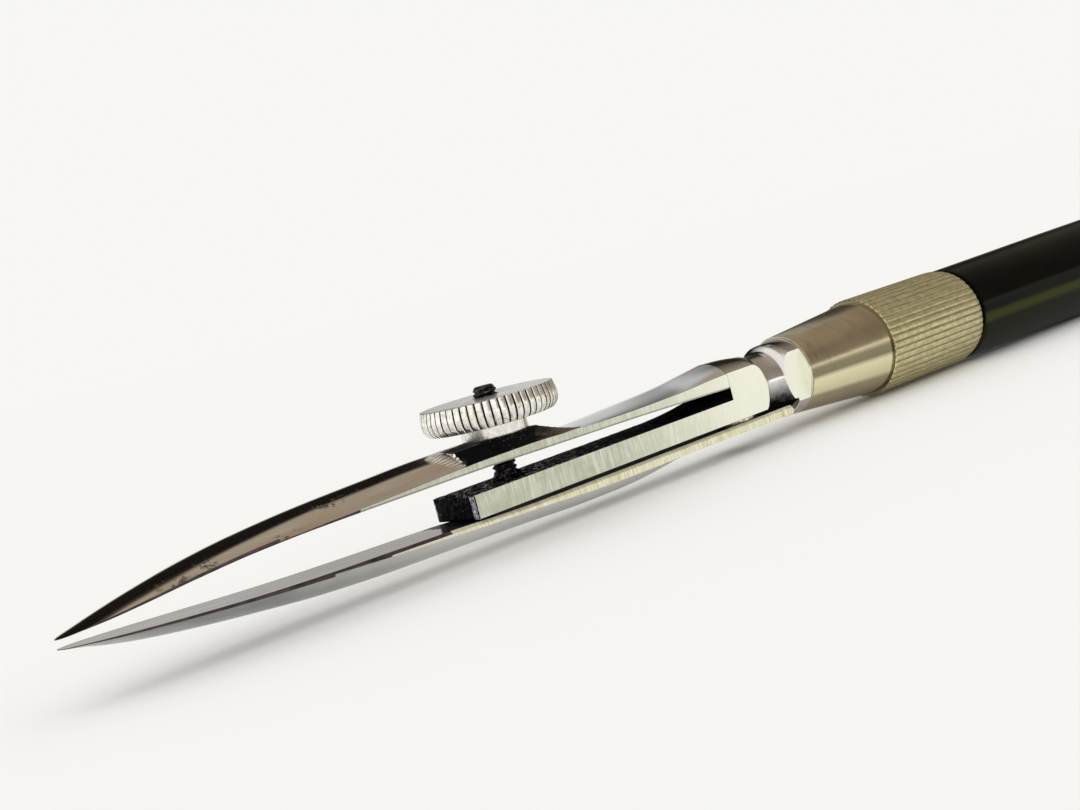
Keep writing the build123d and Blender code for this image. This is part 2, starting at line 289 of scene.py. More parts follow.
def between(tree, value, low, high, low_out=0.0, high_out=1.0):
    """Maps a range of a value to another range, clamped."""
    inputs = {"Value": value, "From Min": low, "From Max": high, "To Min": low_out, "To Max": high_out}
    return add(tree, "ShaderNodeMapRange", inputs).outputs["Result"]


def mixed(tree, factor, a, b, blend="MIX"):
    """Mixes two colours."""
    made = add(tree, "ShaderNodeMix", data_type="RGBA", blend_type=blend)
    for socket, value in ((0, factor), (6, a), (7, b)):
        if isinstance(value, bpy.types.NodeSocket):
            tree.links.new(value, made.inputs[socket])
        else:
            made.inputs[socket].default_value = value
    return made.outputs[2]


def maths(tree, operation, a, b=0.0):
    """One step of arithmetic on values."""
    made = add(tree, "ShaderNodeMath", {0: a, 1: b}, operation=operation, use_clamp=False)
    return made.outputs["Value"]


def bumped(tree, height, depth_mm, strength=1.0):
    """A normal that follows a height of a real depth."""
    inputs = {"Height": height, "Distance": depth_mm * MM, "Strength": strength}
    return add(tree, "ShaderNodeBump", inputs).outputs["Normal"]


def along(tree, coords, axis, pen_mm_a, pen_mm_b):
    """0 to 1 between two places along an axis, in pen millimetres."""
    part = add(tree, "ShaderNodeSeparateXYZ", {"Vector": coords}).outputs[axis]
    shift = {"X": TIP_X, "Y": 0.0, "Z": AXIS_Z}[axis]
    return between(tree, part, (pen_mm_a + shift) * MM, (pen_mm_b + shift) * MM)


def filed_flat():
    """Carbon steel flats, draw-filed across the pen: fine upright lines, soft green-grey, brighter on the block."""
    look = bpy.context.scene.ruling_pen_steel
    material, tree, coords = new_material("draw_filed_steel")
    place = coords.outputs["Object"]
    lines = grain(tree, place, (0.10, 8.0, 1.4), detail=4.0, roughness=0.7)
    streaks = grain(tree, place, (0.28, 8.0, 1.8), detail=2.0)
    cloud = grain(tree, place, (1.6, 8.0, 0.7), detail=3.0)
    color = mixed(tree, between(tree, lines, 0.34, 0.62), look.flat_shade, look.flat_color)
    color = mixed(tree, between(tree, cloud, 0.44, 0.66, 0.0, 0.5), color, linear("#b0b39d"))
    color = mixed(tree, between(tree, streaks, 0.54, 0.70, 0.0, 0.45), color, linear("#eff0e2"))
    behind = along(tree, place, "X", 34.0, 45.0)
    color = mixed(tree, maths(tree, "MULTIPLY", behind, 0.85), color, linear("#ffffee"))
    front = along(tree, place, "X", 25.0, 18.0)
    color = mixed(tree, maths(tree, "MULTIPLY", front, 0.6), color, linear("#bdbab2"))
    finish_material(
        tree,
        Base_Color=color,
        Metallic=0.5,
        Roughness=between(tree, lines, 0.3, 0.7, 0.30, 0.44),
        Normal=bumped(tree, lines, 0.004, 0.5),
    )
    return material


def filed_band():
    """The lower blade's side band, filed like the flats but yellower, from old tarnish."""
    material, tree, coords = new_material("yellowed_filed_steel")
    place = coords.outputs["Object"]
    lines = grain(tree, place, (0.11, 8.0, 1.0), detail=4.0, roughness=0.7)
    cloud = grain(tree, place, (1.6, 8.0, 0.6), detail=3.0)
    color = mixed(tree, between(tree, lines, 0.34, 0.62), linear("#cbc69b"), linear("#fbf7d8"))
    color = mixed(tree, between(tree, cloud, 0.42, 0.62, 0.0, 0.5), color, linear("#f3f0dc"))
    front = along(tree, place, "X", 24.0, 14.0)
    color = mixed(tree, maths(tree, "MULTIPLY", front, 0.85), color, linear("#c3beb4"))
    finish_material(
        tree, Base_Color=color, Metallic=0.5, Roughness=0.4, Normal=bumped(tree, lines, 0.004, 0.5)
    )
    return material


def stained_back():
    """The upper blade's polished back: a mirror of the room, warm with tarnish, pitted by specks of rust and ink."""
    look = bpy.context.scene.ruling_pen_steel
    material, tree, coords = new_material("tarnished_polished_steel")
    place = coords.outputs["Object"]
    wander = grain(tree, place, (6.0, 0.7, 0.7), detail=3.0)
    color = mixed(tree, between(tree, wander, 0.35, 0.65), look.polish_color, look.stain_color)
    back = along(tree, place, "X", 29.5, 32.5)
    color = mixed(tree, back, color, linear("#d6d6d6"))
    # Painted dark reflection along the back's crest just in front of the slot's end.
    crest = maths(tree, "MULTIPLY", along(tree, place, "X", 40.5, 44.0), along(tree, place, "Z", 1.85, 2.15))
    color = mixed(tree, maths(tree, "MULTIPLY", crest, 0.8), color, linear("#4b4a38"))
    spots = grain(tree, place, (0.42, 0.36, 0.3), detail=4.0, roughness=0.75)
    patches = grain(tree, place, (2.6, 2.2, 2.2), detail=1.0)
    spotted = maths(tree, "MULTIPLY", between(tree, spots, 0.53, 0.59), between(tree, patches, 0.50, 0.56))
    spotted = maths(tree, "MULTIPLY", spotted, along(tree, place, "X", 20.0, 15.0))
    spotted = maths(tree, "MULTIPLY", spotted, along(tree, place, "Y", -0.8, -1.2))
    color = mixed(tree, maths(tree, "MULTIPLY", spotted, 0.8), color, linear("#42362f"))
    fine = grain(tree, place, (1.6, 0.05, 0.05), detail=3.0)
    finish_material(
        tree,
        Base_Color=color,
        Metallic=1.0,
        Roughness=between(tree, spotted, 0.0, 1.0, 0.11, 0.5),
        Normal=bumped(tree, fine, 0.001, 0.4),
    )
    return material


def bright_belly():
    """The lower blade's satin belly, light silver, with a few specks; lighter from 11 mm back, a painted reflection of
    lit paper.
    """
    material, tree, coords = new_material("bright_satin_steel")
    place = coords.outputs["Object"]
    fine = grain(tree, place, (1.8, 0.06, 0.06), detail=3.0)
    cloud = grain(tree, place, (3.0, 1.0, 1.0), detail=2.0)
    color = mixed(tree, between(tree, cloud, 0.35, 0.7), linear("#a5a6a5"), linear("#bcbcba"))
    # Painted reflection: lighter from 11 mm back, fully from 22 mm.
    color = mixed(tree, along(tree, place, "X", 11.0, 22.0), color, linear("#e4e4e2"))
    spots = grain(tree, place, (0.3, 0.3, 0.2), detail=3.0, roughness=0.7)
    color = mixed(tree, between(tree, spots, 0.66, 0.72, 0.0, 0.5), color, linear("#6a6258"))
    finish_material(
        tree, Base_Color=color, Metallic=1.0, Roughness=0.30, Normal=bumped(tree, fine, 0.002, 0.5)
    )
    return material


def ragged_inked(tree, place, start_mm, end_mm):
    """0 in front of a ragged shore across the pen, 1 behind it, where ink has dried."""
    ragged = grain(tree, place, (0.8, 0.5, 0.5), detail=4.0, roughness=0.7)
    shift = between(tree, ragged, 0.3, 0.7, -0.9, 0.9)
    length = add(tree, "ShaderNodeSeparateXYZ", {"Vector": place}).outputs["X"]
    length = maths(tree, "ADD", length, maths(tree, "MULTIPLY", shift, MM))
    return between(tree, length, (start_mm + TIP_X) * MM, (end_mm + TIP_X) * MM)


def inner_face():
    """The ground inner face of the lower blade: a soft grey mirror, black with dried ink from the bar backwards."""
    look = bpy.context.scene.ruling_pen_steel
    material, tree, coords = new_material("ground_inner_steel")
    place = coords.outputs["Object"]
    fine = grain(tree, place, (2.5, 0.08, 0.08), detail=3.0)
    cloud = grain(tree, place, (4.0, 0.7, 0.7), detail=2.0)
    color = mixed(tree, between(tree, cloud, 0.35, 0.65), linear("#7d7b79"), linear("#98958f"))
    inked = ragged_inked(tree, place, 22.1, 22.3)
    color = mixed(tree, inked, color, look.ink_color)
    finish_material(
        tree,
        Base_Color=color,
        Metallic=between(tree, inked, 0.0, 1.0, 1.0, 0.1),
        Roughness=between(tree, inked, 0.0, 1.0, 0.2, 0.4),
        Normal=bumped(tree, fine, 0.002, 0.5),
    )
    return material


def blade_underside():
    """The spring blade's inner face: polished in front, filmed with ink from the screw backwards."""
    look = bpy.context.scene.ruling_pen_steel
    material, tree, coords = new_material("ground_underside_steel")
    place = coords.outputs["Object"]
    inked = ragged_inked(tree, place, 25.6, 26.6)
    color = mixed(tree, inked, linear("#b5b1aa"), look.ink_color)
    finish_material(
        tree,
        Base_Color=color,
        Metallic=between(tree, inked, 0.0, 1.0, 1.0, 0.3),
        Roughness=0.3,
    )
    return material


def dark_edge():
    """The blades' thin edges, brown-violet with old ink."""
    material, tree, coords = new_material("inked_edge")
    spots = grain(tree, coords.outputs["Object"], (1.2, 0.5, 0.5), detail=3.0)
    color = mixed(tree, between(tree, spots, 0.35, 0.65), linear("#2a1f22"), linear("#5a474a"))
    finish_material(tree, Base_Color=color, Metallic=0.2, Roughness=0.55, Specular_IOR_Level=0.3)
    return material


def polished_turning():
    """Turned and polished steel of block, neck and collar: faint rings, painted dark reflections on the block's crest,
    the collar's top and the lower half of block and neck, and ink dried along the underside.
    """
    look = bpy.context.scene.ruling_pen_steel
    material, tree, coords = new_material("polished_turned_steel")
    place = coords.outputs["Object"]
    rings = grain(tree, place, (0.09, 6.0, 6.0), detail=2.0)
    color = mixed(tree, between(tree, rings, 0.3, 0.7), look.polish_color, linear("#e2dfdc"))
    # Painted dark reflection along the block's crest.
    crest = maths(tree, "MULTIPLY", along(tree, place, "X", 47.3, 46.4), along(tree, place, "Z", 1.7, 2.1))
    color = mixed(tree, maths(tree, "MULTIPLY", crest, 0.8), color, linear("#4b4a38"))
    # Painted dark reflection along the collar's top.
    collar = maths(tree, "MULTIPLY", along(tree, place, "X", 49.2, 49.6), along(tree, place, "Z", 1.6, 2.1))
    color = mixed(tree, maths(tree, "MULTIPLY", collar, 0.7), color, linear("#5a4f44"))
    height = add(tree, "ShaderNodeSeparateXYZ", {"Vector": place}).outputs["Z"]
    # Ragged edge shared by the painted dark reflection and the real ink below it.
    drips_and_reflection_edge = grain(tree, place, (0.5, 0.5, 0.5), detail=3.0)
    height = maths(tree, "ADD", height, between(tree, drips_and_reflection_edge, 0.3, 0.7, -0.15 * MM, 0.15 * MM))
    # Painted dark reflection: dark violet over the lower half of block and neck.
    painted_dark_reflection = between(tree, height, (AXIS_Z - 0.9) * MM, (AXIS_Z + 0.1) * MM, 0.85, 0.0)
    painted_dark_reflection = maths(tree, "MULTIPLY", painted_dark_reflection, along(tree, place, "X", 49.6, 49.2))
    color = mixed(tree, painted_dark_reflection, color, linear("#47404d"))
    low = between(tree, height, (AXIS_Z - 1.05) * MM, (AXIS_Z - 0.85) * MM, 1.0, 0.0)
    inked = maths(tree, "MULTIPLY", low, along(tree, place, "X", 49.75, 49.55))
    color = mixed(tree, inked, color, look.ink_color)
    finish_material(
        tree,
        Base_Color=color,
        Metallic=between(tree, inked, 0.0, 1.0, 1.0, 0.1),
        Roughness=between(tree, inked, 0.0, 1.0, 0.11, 0.4),
        Normal=bumped(tree, rings, 0.001, 0.4),
    )
    return material


def dried_ink():
    """Drawing ink dried to a black, cracked crust, with small lighter flecks painted on as glints."""
    look = bpy.context.scene.ruling_pen_steel
    material, tree, coords = new_material("dried_drawing_ink")
    place = coords.outputs["Object"]
    crust = grain(tree, place, (0.22, 0.22, 0.18), detail=5.0, roughness=0.75)
    # Painted glints: small lighter flecks on the black crust.
    painted_glints = grain(tree, place, (0.16, 0.3, 0.12), detail=3.0, roughness=0.6)
    color = mixed(tree, between(tree, painted_glints, 0.63, 0.70, 0.0, 0.6), look.ink_color, linear("#7d7788"))
    finish_material(
        tree,
        Base_Color=color,
        Roughness=between(tree, crust, 0.35, 0.65, 0.4, 0.8),
        Specular_IOR_Level=0.06,
        Normal=bumped(tree, crust, 0.05, 0.8),
    )
    return material


def thin_ink():
    """Ink on the bar end's near edge, coloured violet-grey to violet-white in patches."""
    material, tree, coords = new_material("violet_white_ink_edge")
    place = coords.outputs["Object"]
    scrape = grain(tree, place, (0.3, 0.3, 0.25), detail=4.0, roughness=0.7)
    color = ramp(tree, scrape, [(0.40, "#3d3747"), (0.48, "#8f899d"), (0.60, "#d9d6e2")])
    finish_material(tree, Base_Color=color, Metallic=0.4, Roughness=0.4, Normal=bumped(tree, scrape, 0.02, 0.6))
    return material


def inked_steel():
    """Steel under a broken film of ink, mottled black with grey specks, as on the bar's top."""
    look = bpy.context.scene.ruling_pen_steel
    material, tree, coords = new_material("ink_stained_steel")
    place = coords.outputs["Object"]
    mottle = grain(tree, place, (0.35, 0.3, 0.3), detail=5.0, roughness=0.75)
    film = between(tree, mottle, 0.54, 0.58)
    film = maths(tree, "MULTIPLY", film, along(tree, place, "X", 36.0, 29.0))
    color = mixed(tree, film, look.ink_color, linear("#b9b3ad"))
    finish_material(
        tree,
        Base_Color=color,
        Metallic=between(tree, film, 0.0, 1.0, 0.0, 0.9),
        Roughness=between(tree, film, 0.0, 1.0, 0.7, 0.36),
        Specular_IOR_Level=0.06,
        Normal=bumped(tree, mottle, 0.03, 0.7),
    )
    return material


def seat_steel():
    """The nut's milled seat: black with ink round the boss, brown where the ink thins out behind it."""
    look = bpy.context.scene.ruling_pen_steel
    material, tree, coords = new_material("inked_seat_steel")
    place = coords.outputs["Object"]
    chatter = grain(tree, place, (6.0, 0.16, 6.0), detail=2.0)
    steel = mixed(tree, between(tree, chatter, 0.4, 0.6), linear("#7d7368"), linear("#9a9086"))
    thinning = ragged_inked(tree, place, 33.0, 27.5)
    steel = mixed(tree, thinning, steel, linear("#4a3d31"))
    front = ragged_inked(tree, place, 23.1, 23.3)
    behind = ragged_inked(tree, place, 30.4, 28.6)
    inked = maths(tree, "MULTIPLY", front, behind)
    color = mixed(tree, inked, steel, look.ink_color)
    finish_material(
        tree,
        Base_Color=color,
        Metallic=between(tree, inked, 0.0, 1.0, 0.9, 0.1),
        Roughness=between(tree, inked, 0.0, 1.0, 0.22, 0.5),
        Specular_IOR_Level=0.06,
        Normal=bumped(tree, chatter, 0.004, 0.5),
    )
    return material


def chatter_steel():
    """The cutter's run-out in front of the seat: short bright strokes beside dark ones."""
    material, tree, coords = new_material("chattered_steel")
    place = coords.outputs["Object"]
    strokes = grain(tree, place, (1.5, 0.10, 1.5), detail=1.0)
    color = ramp(tree, strokes, [(0.42, "#5c5046"), (0.50, "#b3a698"), (0.56, "#fbfaf6")])
    finish_material(
        tree, Base_Color=color, Metallic=0.8, Roughness=0.3, Normal=bumped(tree, strokes, 0.03, 0.8)
    )
    return material


def nut_metal():
    """Nickel silver of the nut: silvery, yellowed in clouds and on one side, with small dents on the ridges."""
    look = bpy.context.scene.ruling_pen_nut
    material, tree, coords = new_material("nickel_silver_nut")
    place = coords.outputs["Object"]
    cloud = grain(tree, place, (2.2, 2.2, 1.2), detail=3.0)
    pits = grain(tree, place, (0.2, 0.2, 0.3), detail=4.0, roughness=0.7)
    color = mixed(tree, between(tree, cloud, 0.48, 0.68, 0.0, 0.7), look.color, linear("#c3bb90"))
    yellowed = along(tree, place, "X", SCREW_X + 1.0, SCREW_X + 3.6)
    color = mixed(tree, maths(tree, "MULTIPLY", yellowed, 0.8), color, linear("#a79a6e"))
    color = mixed(tree, between(tree, pits, 0.56, 0.66, 0.0, 0.6), color, linear("#8d8779"))
    color = mixed(tree, between(tree, pits, 0.50, 0.40, 0.0, 0.8), color, linear("#fdfcf9"))
    finish_material(
        tree,
        Base_Color=color,
        Metallic=0.9,
        Roughness=between(tree, pits, 0.3, 0.7, 0.16, 0.30),
        Normal=bumped(tree, pits, 0.012, 0.6),
    )
    return material


def nut_groove():
    """Dark colour at the bottom of the nut's flutes."""
    material, tree, coords = new_material("dark_flute_bottom")
    spots = grain(tree, coords.outputs["Object"], (0.3, 0.3, 0.25), detail=3.0)
    color = mixed(tree, between(tree, spots, 0.50, 0.70), linear("#16110e"), linear("#5d5344"))
    finish_material(tree, Base_Color=color, Metallic=0.2, Roughness=0.55, Specular_IOR_Level=0.3)
    return material


def nut_top():
    """The nut's flat top, faced on a lathe, warm grey with fine scratches and dull clouds."""
    look = bpy.context.scene.ruling_pen_nut
    material, tree, coords = new_material("faced_nickel_silver")
    place = coords.outputs["Object"]
    scratch = grain(tree, place, (1.6, 0.12, 1.0), detail=3.0, roughness=0.65)
    cloud = grain(tree, place, (1.8, 1.2, 1.0), detail=3.0)
    color = mixed(tree, between(tree, scratch, 0.35, 0.65), linear("#b5afa6"), look.color)
    color = mixed(tree, between(tree, cloud, 0.5, 0.68, 0.0, 0.5), color, linear("#92887a"))
    finish_material(
        tree, Base_Color=color, Metallic=0.75, Roughness=0.24, Normal=bumped(tree, scratch, 0.003, 0.5)
    )
    return material


def screw_steel():
    """The adjusting screw, black with ink in the thread and rubbed grey on its crests."""
    material, tree, coords = new_material("inked_thread")
    place = coords.outputs["Object"]
    spots = grain(tree, place, (0.25, 0.25, 0.12), detail=4.0, roughness=0.7)
    color = mixed(tree, between(tree, spots, 0.54, 0.66), linear("#141118"), linear("#80726a"))
    finish_material(
        tree,
        Base_Color=color,
        Metallic=0.5,
        Roughness=0.36,
        Specular_IOR_Level=0.3,
        Normal=bumped(tree, spots, 0.01, 0.6),
    )
    return material


def ferrule_metal():
    """Turned nickel silver of the cone: brown with tarnish, ringed by the lathe, with a painted darker band along its
    sides at mid height and a painted bright highlight low on its near side.
    """
    look = bpy.context.scene.ruling_pen_ferrule
    material, tree, coords = new_material("turned_nickel_silver")
    place = coords.outputs["Object"]
    rings = grain(tree, place, (0.05, 9.0, 9.0), detail=2.0, roughness=0.5)
    lines = grain(tree, place, (0.5, 3.0, 3.0), detail=3.0, roughness=0.7)
    cloud = grain(tree, place, (2.4, 1.6, 1.6), detail=3.0)
    color = mixed(tree, between(tree, cloud, 0.42, 0.7, 0.0, 0.5), look.color, linear("#9f8f75"))
    color = mixed(tree, between(tree, lines, 0.60, 0.66, 0.0, 0.35), color, linear("#7d6d50"))
    faces = add(tree, "ShaderNodeSeparateXYZ", {"Vector": coords.outputs["Normal"]})
    facing = faces.outputs["Z"]
    # Painted dark reflection: a darker band along the cone's sides at mid height.
    side = between(tree, facing, -0.26, -0.14)
    side = maths(tree, "MULTIPLY", side, between(tree, facing, 0.10, 0.0))
    color = mixed(tree, maths(tree, "MULTIPLY", side, 0.8), color, linear("#7d755b"))
    # Painted highlight: a bright yellow-white band low on the near side, where the cone would mirror the lit paper.
    painted_reflection = maths(tree, "MULTIPLY", between(tree, facing, -0.64, -0.56), between(tree, facing, -0.16, -0.26))
    painted_reflection = maths(tree, "MULTIPLY", painted_reflection, between(tree, faces.outputs["Y"], 0.3, -0.3))
    color = mixed(tree, maths(tree, "MULTIPLY", painted_reflection, 0.85), color, linear("#f4eec6"))
    finish_material(
        tree,
        Base_Color=color,
        Metallic=0.95,
        Roughness=between(tree, rings, 0.3, 0.7, 0.15, 0.22),
        Normal=bumped(tree, rings, 0.0012, 0.5),
    )
    return material


def knurl_metal():
    """Crests of the knurl: olive tarnish, rubbed paler by the fingers."""
    look = bpy.context.scene.ruling_pen_ferrule
    material, tree, coords = new_material("tarnished_knurl")
    place = coords.outputs["Object"]
    rubs = grain(tree, place, (0.5, 0.3, 0.3), detail=4.0, roughness=0.65)
    color = mixed(tree, between(tree, rubs, 0.4, 0.65), look.knurl_color, linear("#d9cf9f"))
    finish_material(
        tree, Base_Color=color, Metallic=0.85, Roughness=0.38, Normal=bumped(tree, rubs, 0.008, 0.6)
    )
    return material


def knurl_groove():
    """Darker colour at the bottom of the knurl lines."""
    material, tree, coords = new_material("dark_knurl_line")
    spots = grain(tree, coords.outputs["Object"], (0.8, 0.3, 0.3), detail=3.0)
    color = mixed(tree, between(tree, spots, 0.4, 0.65), linear("#877e5b"), linear("#a69c74"))
    finish_material(tree, Base_Color=color, Metallic=0.5, Roughness=0.5)
    return material


def black_rod():
    """The handle's polished black rod, a dark mirror with faint hairlines, with a painted dark grey reflection along
    its underside and a painted olive reflection low on its near side in front.
    """
    look = bpy.context.scene.ruling_pen_handle
    material, tree, coords = new_material("polished_black_rod")
    place = coords.outputs["Object"]
    hairs = grain(tree, place, (7.0, 0.12, 0.12), detail=3.0)
    smear = grain(tree, place, (6.0, 2.0, 2.0), detail=2.0)
    color = mixed(tree, between(tree, smear, 0.4, 0.7), look.color, linear("#0c0c04"))
    faces = add(tree, "ShaderNodeSeparateXYZ", {"Vector": coords.outputs["Normal"]})
    facing = faces.outputs["Z"]
    # Painted reflection: dark grey along the rod's underside, where it would mirror the paper.
    color = mixed(tree, between(tree, facing, -0.14, -0.24), color, linear("#17180d"))
    # Painted reflection: an olive band low on the near side, towards the front.
    painted_reflection = maths(tree, "MULTIPLY", between(tree, facing, -0.34, -0.24), between(tree, facing, -0.06, -0.14))
    painted_reflection = maths(tree, "MULTIPLY", painted_reflection, between(tree, faces.outputs["Y"], 0.3, -0.3))
    painted_reflection = maths(tree, "MULTIPLY", painted_reflection, along(tree, place, "X", 108.0, 88.0))
    color = mixed(tree, maths(tree, "MULTIPLY", painted_reflection, 0.8), color, linear("#3a3c14"))
    finish_material(
        tree,
        Base_Color=color,
        Roughness=between(tree, smear, 0.3, 0.7, look.roughness, look.roughness + 0.06),
        Specular_IOR_Level=0.07,
        Specular_Tint=linear("#e2e0ba"),
        Normal=bumped(tree, hairs, 0.001, 0.4),
    )
    return material


def paper():
    """Cold-pressed drawing paper with a soft emboss."""
    look = bpy.context.scene.ruling_pen_stage
    material, tree, coords = new_material("white_drawing_paper")
    emboss = grain(tree, coords.outputs["Object"], (1.1, 1.1, 1.1), detail=3.0)
    finish_material(
        tree,
        Base_Color=look.paper_color,
        Roughness=1.0,
        Specular_IOR_Level=0.0,
        Normal=bumped(tree, emboss, 0.02, 0.25),
    )
    return material


# Shapes


def smooth_at(lines, x):
    """The values of a table at a place, on a smooth curve through its rows."""
    if x <= lines[0][0]:
        return lines[0][1:]
    if x >= lines[-1][0]:
        return lines[-1][1:]
    at = max(i for i, row in enumerate(lines) if row[0] <= x)
    at = min(at, len(lines) - 2)
    a, b = lines[at], lines[at + 1]
    step = b[0] - a[0]
    t = (x - a[0]) / step
    values = []
    for k in range(1, len(a)):
        chord = (b[k] - a[k]) / step
        before = (a[k] - lines[at - 1][k]) / (a[0] - lines[at - 1][0]) if at > 0 else chord
        after = (lines[at + 2][k] - b[k]) / (lines[at + 2][0] - b[0]) if at + 2 < len(lines) else chord
        start = 0.0 if before * chord <= 0 else 2 * before * chord / (before + chord)
        end = 0.0 if after * chord <= 0 else 2 * after * chord / (after + chord)
        values.append(
            a[k] * (1 + 2 * t) * (1 - t) ** 2
            + b[k] * t * t * (3 - 2 * t)
            + step * (start * t * (1 - t) ** 2 + end * t * t * (t - 1))
        )
    return tuple(values)


def half_width(x):
    """Half the width of a blade: half an ellipse at the nose, then the flats."""
    if x > NOSE_LENGTH:
        return FLAT
    return FLAT * sqrt(max(0.0, 1 - (1 - x / NOSE_LENGTH) ** 2))


def steps(start, end, size):
    """Evenly spaced places from start to end, no further apart than size."""
    count = max(1, ceil((end - start) / size - 1e-9))
    return [start + (end - start) * i / count for i in range(count + 1)]


def soften(points, count=4):
    """An outline of (along, radius, corner radius) with its corners rounded."""
    out = []
    for i, (along_mm, radius, corner) in enumerate(points):
        here = Vector((along_mm, radius))
        if corner == 0 or i in (0, len(points) - 1):
            out.append(here)
            continue
        before = Vector(points[i - 1][:2]) - here
        after = Vector(points[i + 1][:2]) - here
        reach = min(corner, 0.45 * before.length, 0.45 * after.length)
        start, end = here + before.normalized() * reach, here + after.normalized() * reach
        for k in range(count + 1):
            t = k / count
            out.append(start * (1 - t) ** 2 + here * 2 * t * (1 - t) + end * t * t)
    return out


def finished(bm, name, materials, body, replaced, crease=32.0):
    """Closes, cleans and shades a mesh, and makes it a piece on its body."""
    bmesh.ops.remove_doubles(bm, verts=bm.verts, dist=2e-7)
    bmesh.ops.dissolve_degenerate(bm, dist=1e-7, edges=bm.edges)
    open_edges = [edge for edge in bm.edges if edge.is_boundary]
    if open_edges:
        bmesh.ops.holes_fill(bm, edges=open_edges)
    bmesh.ops.recalc_face_normals(bm, faces=bm.faces)
    for face in bm.faces:
        face.smooth = True
    for edge in bm.edges:
        edge.smooth = len(edge.link_faces) == 2 and edge.calc_face_angle() < radians(crease)
    mesh = bpy.data.meshes.new(name)
    bm.to_mesh(mesh)
    bm.free()
    piece = bpy.data.objects.new(name, mesh)
    bpy.context.scene.collection.objects.link(piece)
    for material in materials:
        mesh.materials.append(material)
    weights = piece.modifiers.new("face_weights", "WEIGHTED_NORMAL")
    weights.keep_sharp = True
    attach(piece, body)
    if replaced:
        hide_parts(replaced)
    return piece


def skinned(sections, zone=None, closed=False):
    """A tube through sections of as many points each. zone gives the material of a strip of it."""
    across, length = len(sections[0]), len(sections)
    bm = bmesh.new()
    bmesh.ops.create_grid(bm, x_segments=length - 1, y_segments=across, size=1.0)
    index = {}
    for vert in bm.verts:
        i = round((vert.co.x + 1) / 2 * (length - 1))
        j = round((vert.co.y + 1) / 2 * across)
        index[vert] = (i, j)
    for face in bm.faces:
        i = min(index[vert][0] for vert in face.verts)
        j = min(index[vert][1] for vert in face.verts)
        face.material_index = zone(i, j) if zone else 0
    for vert, (i, j) in index.items():
        vert.co = sections[i][j % across]
    return bm


def seat_height(x, y):
    """Height of the nut's seat, which rises from the blade's back in front and runs down to it behind."""
    if not SEAT_START_X - 0.4 <= x <= SEAT_FOOT_X:
        return -9.0
    past = max(0.0, x - SEAT_END_X) / (SEAT_FOOT_X - SEAT_END_X)
    side = SEAT_Z - (SEAT_Z - SEAT_FOOT_Z) * (1 - (1 - past) ** 1.4)
    slope = (SEAT_Z - SEAT_BAND_Z) / (FLAT - SEAT_HALF_WIDTH)
    return min(side, SEAT_Z - slope * max(0.0, abs(y) - SEAT_HALF_WIDTH))


def seat_rise(x, y):
    """How far the seat has risen from the blade's back: 0 in front of its slanting front line, 1 behind it."""
    start = SEAT_START_X + 0.1 - 0.35 * (1 - abs(y) / FLAT)
    rise = (x - start) / (0.13 if y < 0 else 1.2)
    return min(1.0, max(0.0, rise))


BACK_PARTS = [0.0, 0.1, 0.2, 0.3, 0.4, 0.5, 0.58, 0.65, 0.7, 0.75, 0.8, 0.85, 0.9, 0.95, 1.0]


def blade_section(x, row, up, widest_edge, seat=False):
    """One section of a blade in pen millimetres, from its near inner edge round the back to the far one."""
    inner, band, crest = row
    half = half_width(x)
    edge = min(widest_edge, 0.4 * half, 0.75 * max(0.004, band - inner))
    rise = max(crest - band, 1e-5)
    back_r = (half * half + rise * rise) / (2 * rise)
    points = [(-half + edge, inner), (-half, inner + edge)]
    parts = [-part for part in reversed(BACK_PARTS)] + BACK_PARTS[1:]
    for part in parts:
        y = part * half
        z = crest - back_r + sqrt(max(0.0, back_r * back_r - y * y))
        if seat:
            z += seat_rise(x, y) * max(0.0, seat_height(x, y) - z)
        points.append((y, z))
    points += [(half, inner + edge), (half - edge, inner)]
    inside = 4
    for k in range(1, inside):
        points.append((half - edge - (2 * half - 2 * edge) * k / inside, inner))
    return [pen(x, y, z * up) for y, z in points]


BACK_COUNT = 2 * len(BACK_PARTS) - 1


def blade_zone(j):
    """Names the strip of a blade's section: inked edge, side band, back or inner face."""
    if j in (0, BACK_COUNT + 2):
        return "edge"
    if j in (1, BACK_COUNT + 1):
        return "band"
    return "back" if j <= BACK_COUNT else "inner"


def bored(piece, center_x, cuts):
    """Takes upright cylinders of (radius, low, high) out of a piece and keeps its materials."""
    cutters = []
    for radius, low, high in cuts:
        bm = bmesh.new()
        bmesh.ops.create_cone(
            bm, cap_ends=True, segments=64, radius1=radius * MM, radius2=radius * MM, depth=(high - low) * MM
        )
        bmesh.ops.translate(bm, verts=bm.verts, vec=pen(center_x, 0, (low + high) / 2))
        mesh = bpy.data.meshes.new("cutter")
        bm.to_mesh(mesh)
        bm.free()
        cutter = bpy.data.objects.new("cutter", mesh)
        bpy.context.scene.collection.objects.link(cutter)
        cutters.append(cutter)
        cut = piece.modifiers.new("bore", "BOOLEAN")
        cut.operation = "DIFFERENCE"
        cut.solver = "EXACT"
        cut.object = cutter
        piece.modifiers.move(len(piece.modifiers) - 1, 0)
    weights = piece.modifiers[-1]
    weights.show_viewport = False
    shaped = piece.evaluated_get(bpy.context.evaluated_depsgraph_get())
    baked = bpy.data.meshes.new_from_object(shaped)
    weights.show_viewport = True
    for cut in [modifier for modifier in piece.modifiers if modifier.type == "BOOLEAN"]:
        piece.modifiers.remove(cut)
    old = piece.data
    piece.data = baked
    baked.name = old.name
    bpy.data.meshes.remove(old)
    for cutter in cutters:
        bpy.data.meshes.remove(cutter.data)
    return piece


